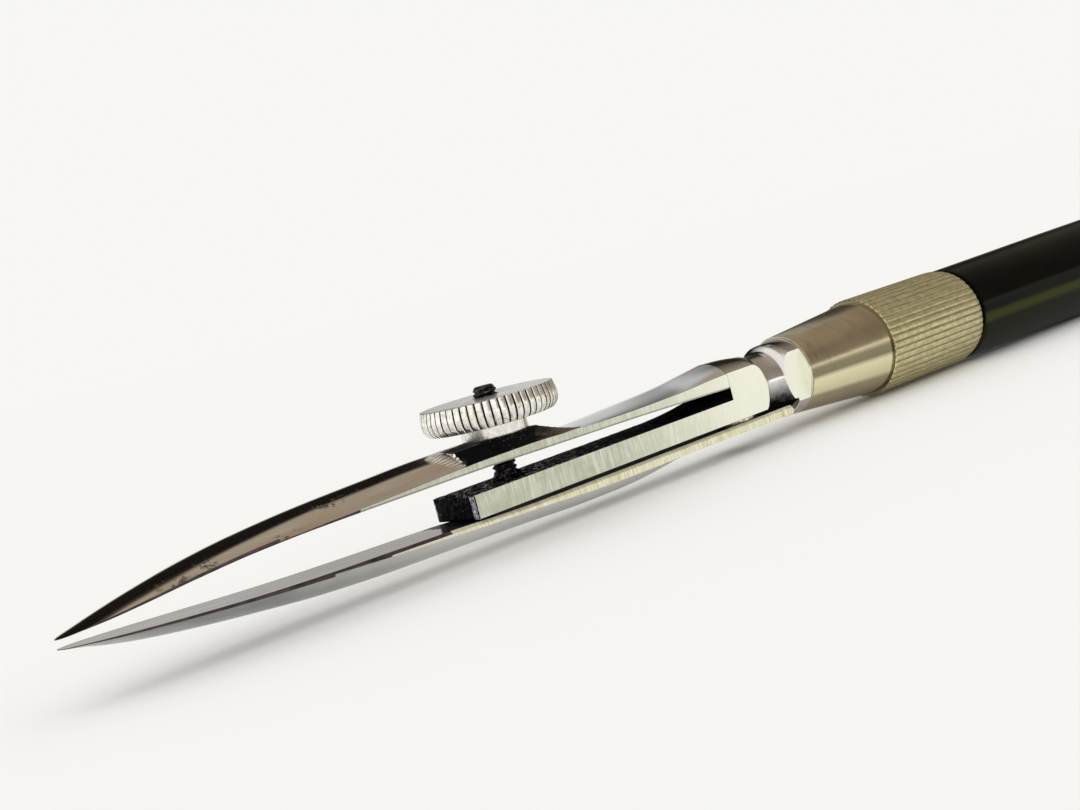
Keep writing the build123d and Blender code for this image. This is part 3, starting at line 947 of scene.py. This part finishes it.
def upper_blade():
    """The spring blade with its nut seat."""
    places = steps(TIP_MARGIN, 1.0, 0.1) + steps(1.0, 8.0, 0.25)[1:] + steps(8.0, 22.6, 0.45)[1:]
    places += steps(22.7, 24.2, 0.05) + steps(24.2, SEAT_END_X, 0.5)[1:] + steps(SEAT_END_X, SEAT_FOOT_X, 0.2)[1:]
    places += steps(SEAT_FOOT_X + 0.05, SLOT_END_X - HINGE_GAP, 0.45)
    sections = [blade_section(x, smooth_at(UPPER_LINES, x), 1, 0.10, seat=True) for x in places]
    order = {"edge": 3, "band": 1, "back": 0, "inner": 2}

    def zone(i, j):
        name = blade_zone(j)
        x = places[i]
        if name == "band" and x < 16.0 or 1.0 < x < 11.5 and j in (2, BACK_COUNT):
            return order["edge"]
        if name == "edge" and x >= 16.0:
            return order["band"]
        if name == "back" and SEAT_START_X - 0.4 < x < SEAT_FOOT_X - 0.3:
            part = (j - 2 + 0.5) / (BACK_COUNT - 1) * 2 - 1
            y = FLAT * BACK_PARTS[min(len(BACK_PARTS) - 1, round(abs(part) * (len(BACK_PARTS) - 1)))]
            rise = seat_rise(x + 0.04, -y if part < 0 else y)
            if rise == 0:
                return 0
            return 5 if rise < 1 and part < 0 else 4
        return order[name]

    bm = skinned(sections, zone)
    materials = [stained_back(), filed_flat(), blade_underside(), dark_edge(), seat_steel(), chatter_steel()]
    piece = finished(bm, "spring_blade_steel", materials, "spring_blade", "upper_blade")
    bored(piece, SCREW_X, [(SCREW_HOLE_R, 0.0, 4.0), (SPOT_R, SEAT_Z, 4.0)])


def lower_blade():
    """The swinging blade with its thin tail."""
    places = steps(TIP_MARGIN, 1.0, 0.1) + steps(1.0, 8.0, 0.25)[1:] + steps(8.0, 36.0, 0.5)[1:]
    places += steps(36.0, TAIL_START_X, 0.25)[1:] + steps(TAIL_START_X, TAIL_END_X, 1.0)[1:]
    sections = [blade_section(x, smooth_at(LOWER_LINES, x), -1, 0.17) for x in places]
    order = {"edge": 3, "band": 1, "back": 0, "inner": 2}

    def zone(i, j):
        name = blade_zone(j)
        x = places[i]
        if x < 17.5 and (name == "band" or x < 14.0 and j in (2, BACK_COUNT)):
            return order["edge"]
        return order["band"] if name == "edge" and x > 21.0 else order[name]

    bm = skinned(sections, zone)
    materials = [bright_belly(), filed_band(), inner_face(), dark_edge()]
    piece = finished(bm, "swing_blade_steel", materials, "swing_blade", "lower_blade")
    bored(piece, PIVOT_X, [(PIVOT_HOLE_R, -4.0, 0.0)])


def spread(start, end, count):
    """Points from start up to but without end."""
    return [tuple(a + (b - a) * k / count for a, b in zip(start, end)) for k in range(count)]


def round_part(radius, start, end, count):
    """Points on a circle about the axis from one place to the other, without the last."""
    a, b = atan2(start[1], start[0]), atan2(end[1], end[0])
    while b > a:
        b -= 2 * pi
    if a - b < 1e-6 or a - b > 2 * pi - 1e-6:
        return [start] * count
    return [(radius * cos(a + (b - a) * k / count), radius * sin(a + (b - a) * k / count)) for k in range(count)]


TOP_COUNT, FLAT_LOW, FLAT_HIGH, ROUND_COUNT, FLOOR_COUNT = 32, 5, 6, 8, 8


def shank_section(x):
    """One section of bar or shank, clockwise from the near top corner as seen from the tips."""
    if x < SLOT_END_X:
        top_near, mid_near = (-FLAT, BAR_TOP_Z), (-FLAT, BAR_TOP_Z)
        low_near = (-FLAT, BAR_BOTTOM_Z)
        top = spread(top_near, (FLAT, BAR_TOP_Z), TOP_COUNT)
        under_near, radius = low_near, 2.57
    else:
        radius, crest = smooth_at(SHANK_LINES, max(x, SLOT_END_X + 1e-4))
        crest = min(crest, radius)
        wide = min(FLAT, radius) if x < FLAT_END_X else radius
        side = sqrt(max(0.0, radius * radius - wide * wide))
        top_z = min(side, 1.6)
        top_near = (-wide, top_z)
        rise = crest - top_z
        arc_r = (wide * wide + rise * rise) / (2 * rise)
        top = []
        for k in range(TOP_COUNT):
            y = -wide * cos(pi * k / TOP_COUNT)
            top.append((y, crest - arc_r + sqrt(max(0.0, arc_r * arc_r - y * y))))
        floor_z = BAR_BOTTOM_Z if x < UNDERSIDE_END_X else -9.0
        low_z = max(-side, floor_z)
        low_near = (-wide, low_z)
        mid_near = (-wide, min(top_z, max(low_z, BAR_TOP_Z)))
        if floor_z < -radius:
            under_near = (-0.01, -sqrt(radius * radius - 0.0001))
        elif -side <= floor_z:
            under_near = low_near
        else:
            under_near = (-sqrt(radius * radius - floor_z * floor_z), floor_z)
    top_far, mid_far, low_far, under_far = [(-y, z) for y, z in (top_near, mid_near, low_near, under_near)]
    loop = list(top)
    loop += spread(top_far, mid_far, FLAT_HIGH) + spread(mid_far, low_far, FLAT_LOW)
    loop += round_part(radius, low_far, under_far, ROUND_COUNT) if low_far != under_far else [low_far] * ROUND_COUNT
    loop += spread(under_far, under_near, FLOOR_COUNT)
    loop += round_part(radius, under_near, low_near, ROUND_COUNT) if low_near != under_near else [low_near] * ROUND_COUNT
    loop += spread(low_near, mid_near, FLAT_LOW) + spread(mid_near, top_near, FLAT_HIGH)
    return [pen(x, y, z) for y, z in loop]


def bow():
    """Bar, block, neck and collar, and the tang inside the ferrule."""
    places = [BAR_START_X] + steps(BAR_START_X, SLOT_END_X - 0.001, 1.0)[1:]
    places += steps(SLOT_END_X, 46.2, 0.3) + steps(46.2, UNDERSIDE_END_X - 0.002, 0.04)[1:]
    places += steps(UNDERSIDE_END_X, FLAT_END_X - 0.004, 0.06) + [FLAT_END_X, FERRULE_X]
    sections = [shank_section(x) for x in places]
    ends = [TOP_COUNT, FLAT_HIGH, FLAT_LOW, ROUND_COUNT, FLOOR_COUNT, ROUND_COUNT, FLAT_LOW, FLAT_HIGH]
    starts = [sum(ends[:k]) for k in range(len(ends))]

    def zone(i, j):
        part = max(k for k, start in enumerate(starts) if start <= j)
        x = places[i]
        on_bar = x < SLOT_END_X - 0.01
        if part in (1, 2, 6, 7):
            return 0 if x < FLAT_END_X - 0.003 else 1
        if on_bar:
            return 2
        if SLOT_END_X - 0.01 <= x < SLOT_END_X:
            return 3
        return 3 if part == 4 and x < UNDERSIDE_END_X else 1

    bm = skinned(sections, zone)
    materials = [filed_flat(), polished_turning(), inked_steel(), dried_ink()]
    piece = finished(bm, "bow_steel", materials, "pen", "bow")
    bevel_edges(piece, 0.025)


def bevel_edges(piece, width_mm):
    """Rounds the sharp edges a little, as wear does."""
    bevel = piece.modifiers.new("worn_edges", "BEVEL")
    bevel.limit_method = "ANGLE"
    bevel.angle_limit = radians(40)
    bevel.width = width_mm * MM
    bevel.segments = 2
    bevel.use_clamp_overlap = True
    piece.modifiers.move(len(piece.modifiers) - 1, 0)


def ring(center, axis, radius, along_mm, count, depth_at=None):
    """Points round an axis, with the radius cut by a depth at each angle."""
    points = []
    for k in range(count):
        angle = 2 * pi * k / count
        r = radius - (depth_at(k) if depth_at else 0.0)
        if axis == "X":
            points.append(pen(along_mm, r * cos(angle), r * sin(angle)))
        else:
            points.append(pen(center + r * cos(angle), r * sin(angle), along_mm))
    return points


def thumb_nut():
    """The fluted nut with its boss."""
    look = bpy.context.scene.ruling_pen_nut
    per_flute = 10
    count = look.flutes * per_flute
    rim = [(4.70, 3.83, 0.04), (4.0, 4.0, 0.5), (3.5, 3.9, 0.3), (3.22, 3.62, 0.06)]
    outline = [(4.70, 0.76, 0.0), (4.70, 0.8, 0.0), (4.70, 2.6, 0.0)] + rim
    outline += [(3.22, 1.92, 0.05), (2.48, 1.92, 0.05), (2.405, 1.84, 0.02), (2.405, 0.76, 0.02), (4.70, 0.76, 0.0)]
    profile = soften(outline, 3)
    dip = [1.0, 0.32, 0.10, 0.02, 0.0, 0.0, 0.0, 0.02, 0.10, 0.32]
    depth = look.depth / MM
    wander = [noise.noise(Vector((k * 1.7, 3.1, 0.4))) for k in range(look.flutes)]
    tilt = [noise.noise(Vector((k * 2.3, 0.6, 5.2))) for k in range(look.flutes)]

    sections = []
    for along_mm, r in profile:
        fade = min(1.0, max(0.0, (r - 3.45) / 0.25)) if 3.15 < along_mm < 4.75 else 0.0
        fade *= 0.55 if along_mm > 4.66 else 1.0

        def cut(k):
            flute, step = k // per_flute, k % per_flute
            lean = 0.9 * tilt[flute] * (step / per_flute - 0.5) if step else 0.0
            return fade * depth * max(0.0, dip[step] + lean * 0.6 + 0.12 * wander[flute])

        sections.append(ring(SCREW_X, "Z", r, along_mm, count, cut))
    rim_rows = [i for i, (along_mm, r) in enumerate(profile) if r > 3.55]

    def zone(i, j):
        row_in_rim = i in rim_rows and i + 1 in rim_rows
        if row_in_rim:
            return 1 if j % per_flute in (0, per_flute - 1) else 0
        return 0 if 3.1 < profile[i][0] < 4.6 else 2

    bm = skinned(sections, zone)
    finished(bm, "thumb_nut_metal", [nut_metal(), nut_groove(), nut_top()], "nut", "thumb_nut", 40)


def adjusting_screw():
    """The stud with a true helix above the bar."""
    pitch, core, crest = 0.3, 0.55, 0.70
    low, top = BAR_BOTTOM_Z, 5.30
    around = 24
    rows_per_turn = 6
    sections = []
    heights = [low] + steps(BAR_TOP_Z - 0.05, top - 0.22, pitch / rows_per_turn)
    for z in heights:
        points = []
        for k in range(around):
            angle = 2 * pi * k / around
            phase = ((z - BAR_TOP_Z) / pitch - k / around) % 1.0
            depth = abs(phase - 0.5) * 2
            r = core + (crest - core) * min(1.0, max(0.0, 1.35 * depth - 0.1))
            if z < BAR_TOP_Z:
                r = crest - 0.005
            points.append(pen(SCREW_X + r * cos(angle), r * sin(angle), z))
        sections.append(points)
    for z, r in ((top - 0.17, 0.62), (top - 0.04, 0.54), (top, 0.48), (top, 0.05)):
        sections.append(ring(SCREW_X, "Z", r, z, around))
    bm = skinned(sections)
    finished(bm, "adjusting_screw_steel", [screw_steel()], "pen", "adjusting_screw", 60)


def ferrule():
    """Cone and knurled cylinder."""
    look = bpy.context.scene.ruling_pen_ferrule
    knurl_x, knurl_r = 58.45, 3.385
    per_line = 8
    count = look.lines * per_line
    outline = [
        (FERRULE_X, 1.3, 0.0),
        (FERRULE_X, 2.6, 0.04),
        (knurl_x, 3.16, 0.0),
        (knurl_x, 3.30, 0.0),
        (knurl_x + 0.10, knurl_r, 0.05),
        (KNURL_END_X - 1.2, knurl_r, 0.0),
        (KNURL_END_X - 0.75, knurl_r - 0.02, 0.2),
        (KNURL_END_X - 0.2, knurl_r - 0.15, 0.2),
        (KNURL_END_X, knurl_r - 0.42, 0.12),
        (KNURL_END_X, 2.41, 0.0),
        (KNURL_END_X - 7.5, 2.41, 0.0),
        (KNURL_END_X - 7.5, 1.3, 0.0),
        (FERRULE_X, 1.3, 0.0),
    ]
    profile = soften(outline, 3)
    dip = [1.0, 0.45, 0.12, 0.0, 0.0, 0.0, 0.12, 0.45]
    depth = look.depth / MM
    sections = []
    for along_mm, r in profile:
        on_knurl = along_mm > knurl_x + 0.05 and r > 3.0

        def cut(k):
            return depth * dip[k % per_line] if on_knurl else 0.0

        sections.append(ring(0, "X", r, along_mm, count, cut))

    def zone(i, j):
        a, b = profile[i], profile[i + 1]
        if a[0] > knurl_x + 0.05 and b[0] > knurl_x + 0.05 and min(a[1], b[1]) > 3.0:
            return 2 if j % per_line in (0, per_line - 1) else 1
        return 0

    bm = skinned(sections, zone)
    materials = [ferrule_metal(), knurl_metal(), knurl_groove()]
    finished(bm, "ferrule_metal", materials, "pen", "ferrule", 35)


def handle():
    """The black rod."""
    front_r, grip_r, rear_r, dome = 3.30, 3.5, 2.7, 1.8
    swell = [(68.7, front_r), (74.0, 3.35), (84.0, 3.46), (92.0, grip_r), (122.0, grip_r), (132.0, 3.36), (142.0, 2.98)]
    swell += [(HANDLE_END_X - dome, rear_r)]
    profile = [(KNURL_END_X - 7.4, 0.0), (KNURL_END_X - 7.4, 2.39), (KNURL_END_X + 0.01, 2.39)]
    profile += [(KNURL_END_X + 0.01, front_r - 0.06), (KNURL_END_X + 0.03, front_r - 0.02), (KNURL_END_X + 0.08, front_r)]
    for x in steps(KNURL_END_X + 0.3, HANDLE_END_X - dome, 2.0):
        profile.append((x, smooth_at(swell, x)[0]))
    for k in range(1, 13):
        angle = k / 12 * pi / 2
        profile.append((HANDLE_END_X - dome * (1 - sin(angle)), rear_r * cos(angle) ** 0.8))
    sections = [ring(0, "X", max(r, 0.0), x, 96) for x, r in profile]
    bm = skinned(sections)
    finished(bm, "handle_rod", [black_rod()], "pen", "handle", 40)


def crust(x, y, seed, size=0.45):
    """Height of a lumpy crust of ink, from 0 to 1."""
    coarse = noise.noise(Vector((x / size, y / size, seed)))
    fine = noise.noise(Vector((x / size * 3.1, y / size * 3.1, seed + 4.0)))
    return min(1.0, max(0.0, 0.5 + 0.75 * coarse + 0.35 * fine))


def bar_ink():
    """Ink dried along the top of the bar: a thin crust, thicker at the screw's foot and at the slot's end."""
    places = steps(BAR_START_X + 0.15, SLOT_END_X - 0.02, 0.12)
    across = 22
    sections = []
    for x in places:
        inner = smooth_at(UPPER_LINES, x)[0]
        room = 0.03 + 0.013 * (SLOT_END_X - x)
        fill = max(0.0, (x - 38.5) / 5.5) ** 1.5
        near = -1.9 + 0.12 * crust(x, 0.0, 8.0)
        points = []
        for k in range(across + 1):
            y = near + (1.93 - near) * k / across
            height = 0.02 + 0.10 * crust(x, y, 1.7)
            foot = max(0.0, 1.0 - (sqrt((x - SCREW_X) ** 2 + y * y) - 0.65) / 0.55)
            height += 0.35 * min(1.0, foot) ** 2
            height += fill * (inner - BAR_TOP_Z - height)
            side = min(1.0, 3.0 * min(k, across - k) / across)
            height = min(height * (0.25 + 0.75 * side), inner - room - BAR_TOP_Z)
            points.append((y, BAR_TOP_Z + height))
        points += [(1.93, BAR_TOP_Z - 0.02), (near, BAR_TOP_Z - 0.02)]
        sections.append([pen(x, y, z) for y, z in points])
    bm = skinned(sections)
    finished(bm, "bar_ink", [inked_steel()], "pen", None, 60)


def seat_ink_and_shade():
    """Ink gathered in the wedge under the nut's boss and on the spot face in front of it; its black stands partly for
    ink and partly for painted shade in the wedge.
    """
    around = 96
    profile = [(1.70, -0.02), (1.90, 0.03), (1.97, -0.02), (2.06, -0.10), (2.18, -0.18), (2.18, -0.60), (1.70, -0.60)]
    sections = []
    for k in range(around + 1):
        angle = 2 * pi * (k % around) / around
        grow = 1.0 + 0.5 * noise.noise(Vector((3 * cos(angle), 3 * sin(angle), 0.3)))
        points = []
        for r, lift in profile:
            x, y = SCREW_X + r * cos(angle), max(-1.97, min(1.97, r * sin(angle)))
            top = SEAT_Z if r < SPOT_R else max(seat_height(x, y), SEAT_BAND_Z - 0.1)
            top = min(top, SEAT_Z)
            outer = min(1.0, max(0.0, (r - 1.92) / 0.22))
            z = (SEAT_Z + lift * grow) * (1 - outer) + (top + 0.012) * outer if lift > -0.5 else SEAT_BAND_Z - 0.3
            points.append(pen(x, y, z))
        sections.append(points)
    bm = skinned(sections)
    finished(bm, "seat_ink_and_shade", [dried_ink()], "spring_blade", None, 50)


def bar_end_ink():
    """A crust of ink on the bar's front end, thinner and violet-white along its near edge."""
    low_z = BAR_BOTTOM_Z - 0.05
    middle_z = 0.5 * (BAR_TOP_Z + low_z)
    half_z = 0.5 * (BAR_TOP_Z - low_z)
    across, upright = 40, 16
    bm = bmesh.new()
    bmesh.ops.create_grid(bm, x_segments=across, y_segments=upright, size=1.0)
    for vert in bm.verts:
        y, z = vert.co.x * (FLAT - 0.06), middle_z + vert.co.y * (half_z - 0.02)
        edge = 1.0 - max(abs(vert.co.x), abs(vert.co.y)) ** 12
        thin = 0.25 if y < -FLAT + 0.62 else 1.0
        out = (0.02 + 0.16 * crust(y, z, 2.0, 0.35)) * edge * thin
        vert.co = pen(BAR_START_X + 0.01 - out, y, z)
    for face in bm.faces:
        face.material_index = 1 if face.calc_center_median().y < (-FLAT + 0.52 + 0.08 * noise.noise(face.calc_center_median() * 3000)) * MM else 0
    rim = bmesh.ops.extrude_edge_only(bm, edges=[edge for edge in bm.edges if edge.is_boundary])
    back = [item for item in rim["geom"] if isinstance(item, bmesh.types.BMVert)]
    for vert in back:
        vert.co.x = (BAR_START_X + 0.06 + TIP_X) * MM
    finished(bm, "bar_end_ink", [dried_ink(), thin_ink()], "pen", None, 60)


def drip_ink():
    """Ink that ran down from the bar's end on to the lower blade's inner face and dried there."""
    across = 36
    places = steps(BAR_START_X - 0.35, BAR_START_X + 1.3, 0.075)
    sections = []
    for x in places:
        inner = -smooth_at(LOWER_LINES, x)[0]
        gap = BAR_BOTTOM_Z - inner - 0.03
        grown = min(1.0, max(0.0, (x - places[0]) / 0.30))
        points = []
        for k in range(across + 1):
            y = -1.78 + 3.6 * k / across
            side = min(1.0, 4.0 * min(k, across - k) / across)
            height = (0.02 + gap * (0.55 + 0.4 * crust(x, y, 6.0, 0.3))) * grown * side
            points.append((y, inner + min(height, gap)))
        points += [(1.82, inner - 0.02), (-1.78, inner - 0.02)]
        sections.append([pen(x, y, z) for y, z in points])
    bm = skinned(sections)
    finished(bm, "drip_ink", [dried_ink()], "swing_blade", None, 60)


def pivot():
    """Finishes for the pivot screw and its washer, whose shapes are right in the frame."""
    for node, material in (("pivot_screw", screw_steel()), ("pivot_washer", nut_metal())):
        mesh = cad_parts[node].data
        mesh.materials.clear()
        mesh.materials.append(material)


def stage():
    """Paper, light, background and camera."""
    look = bpy.context.scene.ruling_pen_stage
    bm = bmesh.new()
    bmesh.ops.create_grid(bm, x_segments=4, y_segments=4, size=4.0)
    mesh = bpy.data.meshes.new("paper")
    bm.to_mesh(mesh)
    bm.free()
    mesh.materials.append(paper())
    floor = bpy.data.objects.new("paper", mesh)
    bpy.context.scene.collection.objects.link(floor)
    make_world()
    make_sun(look.sun_strength)
    make_camera(look.lens)
    bpy.context.scene.view_settings.view_transform = "Standard"


WHITE_STRIP = (1.5, 1.48, 1.4, 1.0)
BLACK = (0.0, 0.0, 0.0, 1.0)
WHITE = (1.0, 1.0, 1.0, 1.0)


def make_world():
    """Even light all round. Gloss sees a white horizon, a warm dim room above it, and a dark one beyond the pen."""
    world = bpy.data.worlds.new("studio")
    bpy.context.scene.world = world
    world.use_nodes = True
    tree = world.node_tree
    tree.nodes.clear()
    direction = add(tree, "ShaderNodeTexCoord").outputs["Generated"]
    parts = add(tree, "ShaderNodeSeparateXYZ", {"Vector": direction})
    height = between(tree, parts.outputs["Z"], 0.0, 1.0)
    near = ramp(
        tree,
        height,
        [(0.0, WHITE_STRIP), (0.08, WHITE_STRIP), (0.13, "#a79c92"), (0.5, "#978c84"), (0.75, "#b5aa9b"), (1.0, "#c9beaf")],
    )
    beyond = ramp(
        tree,
        height,
        [
            (0.0, "#f4f4f2"),
            (0.14, "#e2dfda"),
            (0.22, "#88817a"),
            (0.29, "#201c19"),
            (0.84, "#15120f"),
            (0.93, "#5a5048"),
            (1.0, "#bfb3a3"),
        ],
    )
    room = mixed(tree, between(tree, parts.outputs["Y"], 0.25, 0.38), near, beyond)
    wall = ramp(tree, parts.outputs["X"], [(0.55, BLACK), (0.59, WHITE), (0.63, WHITE), (0.66, BLACK)])
    wall = maths(tree, "MULTIPLY", wall, between(tree, parts.outputs["Y"], 0.15, 0.3))
    room = mixed(tree, maths(tree, "MULTIPLY", wall, 0.9), room, linear("#e4e4e3"))
    far_end = maths(tree, "MULTIPLY", between(tree, parts.outputs["X"], 0.685, 0.70), 0.85)
    far_end = maths(tree, "MULTIPLY", far_end, between(tree, parts.outputs["Y"], -0.65, -0.5))
    corner = mixed(tree, between(tree, parts.outputs["Y"], 0.36, 0.5), linear("#978c7f"), linear("#3d382f"))
    room = mixed(tree, far_end, room, corner)
    window = between(tree, parts.outputs["X"], 0.0, -0.4)
    room = mixed(tree, maths(tree, "MULTIPLY", window, 0.9), room, (1.25, 1.25, 1.24, 1.0))
    seen = add(tree, "ShaderNodeLightPath")
    soft = add(tree, "ShaderNodeBackground", {"Color": linear("#f9f9fa"), "Strength": 1.06})
    gloss = add(tree, "ShaderNodeBackground", {"Color": room, "Strength": 1.0})
    white = add(tree, "ShaderNodeBackground", {"Color": linear("#f7f6f3"), "Strength": 1.0})
    bounced = add(tree, "ShaderNodeMixShader", {0: seen.outputs["Is Glossy Ray"], 1: soft.outputs[0], 2: gloss.outputs[0]})
    shown = add(tree, "ShaderNodeMixShader", {0: seen.outputs["Is Camera Ray"], 1: bounced.outputs[0], 2: white.outputs[0]})
    add(tree, "ShaderNodeOutputWorld", {"Surface": shown.outputs[0]})


def make_sun(strength):
    """A very broad light from above, a little from beyond the pen, as from a large window."""
    data = bpy.data.lights.new("window_light", "SUN")
    data.energy = strength
    data.angle = radians(75)
    data.color = linear("#fbfbff")[:3]
    sun = bpy.data.objects.new("window_light", data)
    bpy.context.scene.collection.objects.link(sun)
    sun.visible_glossy = False
    toward = Vector((0.05, -0.15, -1.0))
    sun.rotation_euler = toward.to_track_quat("-Z", "Y").to_euler()


def make_camera(lens):
    """The photograph's view: low over the blades' flats, near the tips, a little rolled."""
    data = bpy.data.cameras.new("camera")
    data.sensor_width = 36.0
    data.lens = lens
    data.clip_start = 0.005
    data.clip_end = 30.0
    camera = bpy.data.objects.new("camera", data)
    bpy.context.scene.collection.objects.link(camera)
    heading, looks_up, roll = radians(-38.03), radians(-4.66), radians(-14.98)
    turn = Matrix.Rotation(heading, 4, "Z") @ Matrix.Rotation(pi / 2 + looks_up, 4, "X")
    camera.matrix_world = Matrix.Translation(pen(-27.48, -74.74, 10.97)) @ turn @ Matrix.Rotation(roll, 4, "Z")
    bpy.context.scene.camera = camera


# Operators


class RULING_PEN_OT_spring_blade(bpy.types.Operator):
    """Makes the upper blade with its seat, and the ink and painted shade under the nut"""

    bl_idname = "ruling_pen.spring_blade"
    bl_label = "Spring blade"

    def execute(self, context):
        upper_blade()
        seat_ink_and_shade()
        return {"FINISHED"}


class RULING_PEN_OT_swing_blade(bpy.types.Operator):
    """Makes the lower blade, and the ink that ran on to it"""

    bl_idname = "ruling_pen.swing_blade"
    bl_label = "Swing blade"

    def execute(self, context):
        lower_blade()
        drip_ink()
        return {"FINISHED"}


class RULING_PEN_OT_bow(bpy.types.Operator):
    """Makes bar, block, neck and collar, and the ink on the bar"""

    bl_idname = "ruling_pen.bow"
    bl_label = "Bow"

    def execute(self, context):
        bow()
        bar_ink()
        bar_end_ink()
        return {"FINISHED"}


class RULING_PEN_OT_adjusting_screw(bpy.types.Operator):
    """Makes the threaded stud"""

    bl_idname = "ruling_pen.adjusting_screw"
    bl_label = "Adjusting screw"

    def execute(self, context):
        adjusting_screw()
        return {"FINISHED"}


class RULING_PEN_OT_thumb_nut(bpy.types.Operator):
    """Makes the fluted nut with its boss"""

    bl_idname = "ruling_pen.thumb_nut"
    bl_label = "Thumb nut"

    def execute(self, context):
        thumb_nut()
        return {"FINISHED"}


class RULING_PEN_OT_pivot(bpy.types.Operator):
    """Finishes the pivot screw and its washer"""

    bl_idname = "ruling_pen.pivot"
    bl_label = "Pivot"

    def execute(self, context):
        pivot()
        return {"FINISHED"}


class RULING_PEN_OT_ferrule(bpy.types.Operator):
    """Makes the cone with its knurl"""

    bl_idname = "ruling_pen.ferrule"
    bl_label = "Ferrule"

    def execute(self, context):
        ferrule()
        return {"FINISHED"}


class RULING_PEN_OT_handle(bpy.types.Operator):
    """Makes the black rod"""

    bl_idname = "ruling_pen.handle"
    bl_label = "Handle"

    def execute(self, context):
        handle()
        return {"FINISHED"}


class RULING_PEN_OT_stage(bpy.types.Operator):
    """Makes paper, light, background and camera"""

    bl_idname = "ruling_pen.stage"
    bl_label = "Stage"

    def execute(self, context):
        stage()
        return {"FINISHED"}


OPERATORS = [
    RULING_PEN_OT_spring_blade,
    RULING_PEN_OT_swing_blade,
    RULING_PEN_OT_bow,
    RULING_PEN_OT_adjusting_screw,
    RULING_PEN_OT_thumb_nut,
    RULING_PEN_OT_pivot,
    RULING_PEN_OT_ferrule,
    RULING_PEN_OT_handle,
    RULING_PEN_OT_stage,
]


class RULING_PEN_PT_panel(bpy.types.Panel):
    """Lists the pieces."""

    bl_label = "Ruling pen"
    bl_idname = "RULING_PEN_PT_panel"
    bl_space_type = "VIEW_3D"
    bl_region_type = "UI"
    bl_category = "Ruling pen"

    def draw(self, context):
        for operator in OPERATORS:
            self.layout.operator(operator.bl_idname)


GROUPS = {
    "ruling_pen_steel": SteelSettings,
    "ruling_pen_nut": NutSettings,
    "ruling_pen_ferrule": FerruleSettings,
    "ruling_pen_handle": HandleSettings,
    "ruling_pen_stage": StageSettings,
}


def register():
    for name, group in GROUPS.items():
        bpy.utils.register_class(group)
        setattr(bpy.types.Scene, name, PointerProperty(type=group))
    for operator in OPERATORS:
        bpy.utils.register_class(operator)
    bpy.utils.register_class(RULING_PEN_PT_panel)


def unregister():
    bpy.utils.unregister_class(RULING_PEN_PT_panel)
    for operator in reversed(OPERATORS):
        bpy.utils.unregister_class(operator)
    for name, group in GROUPS.items():
        delattr(bpy.types.Scene, name)
        bpy.utils.unregister_class(group)


def main():
    """Makes the whole scene."""
    register()
    bpy.ops.ruling_pen.spring_blade()
    bpy.ops.ruling_pen.swing_blade()
    bpy.ops.ruling_pen.bow()
    bpy.ops.ruling_pen.adjusting_screw()
    bpy.ops.ruling_pen.thumb_nut()
    bpy.ops.ruling_pen.pivot()
    bpy.ops.ruling_pen.ferrule()
    bpy.ops.ruling_pen.handle()
    bpy.ops.ruling_pen.stage()


if __name__ == "__main__":
    main()
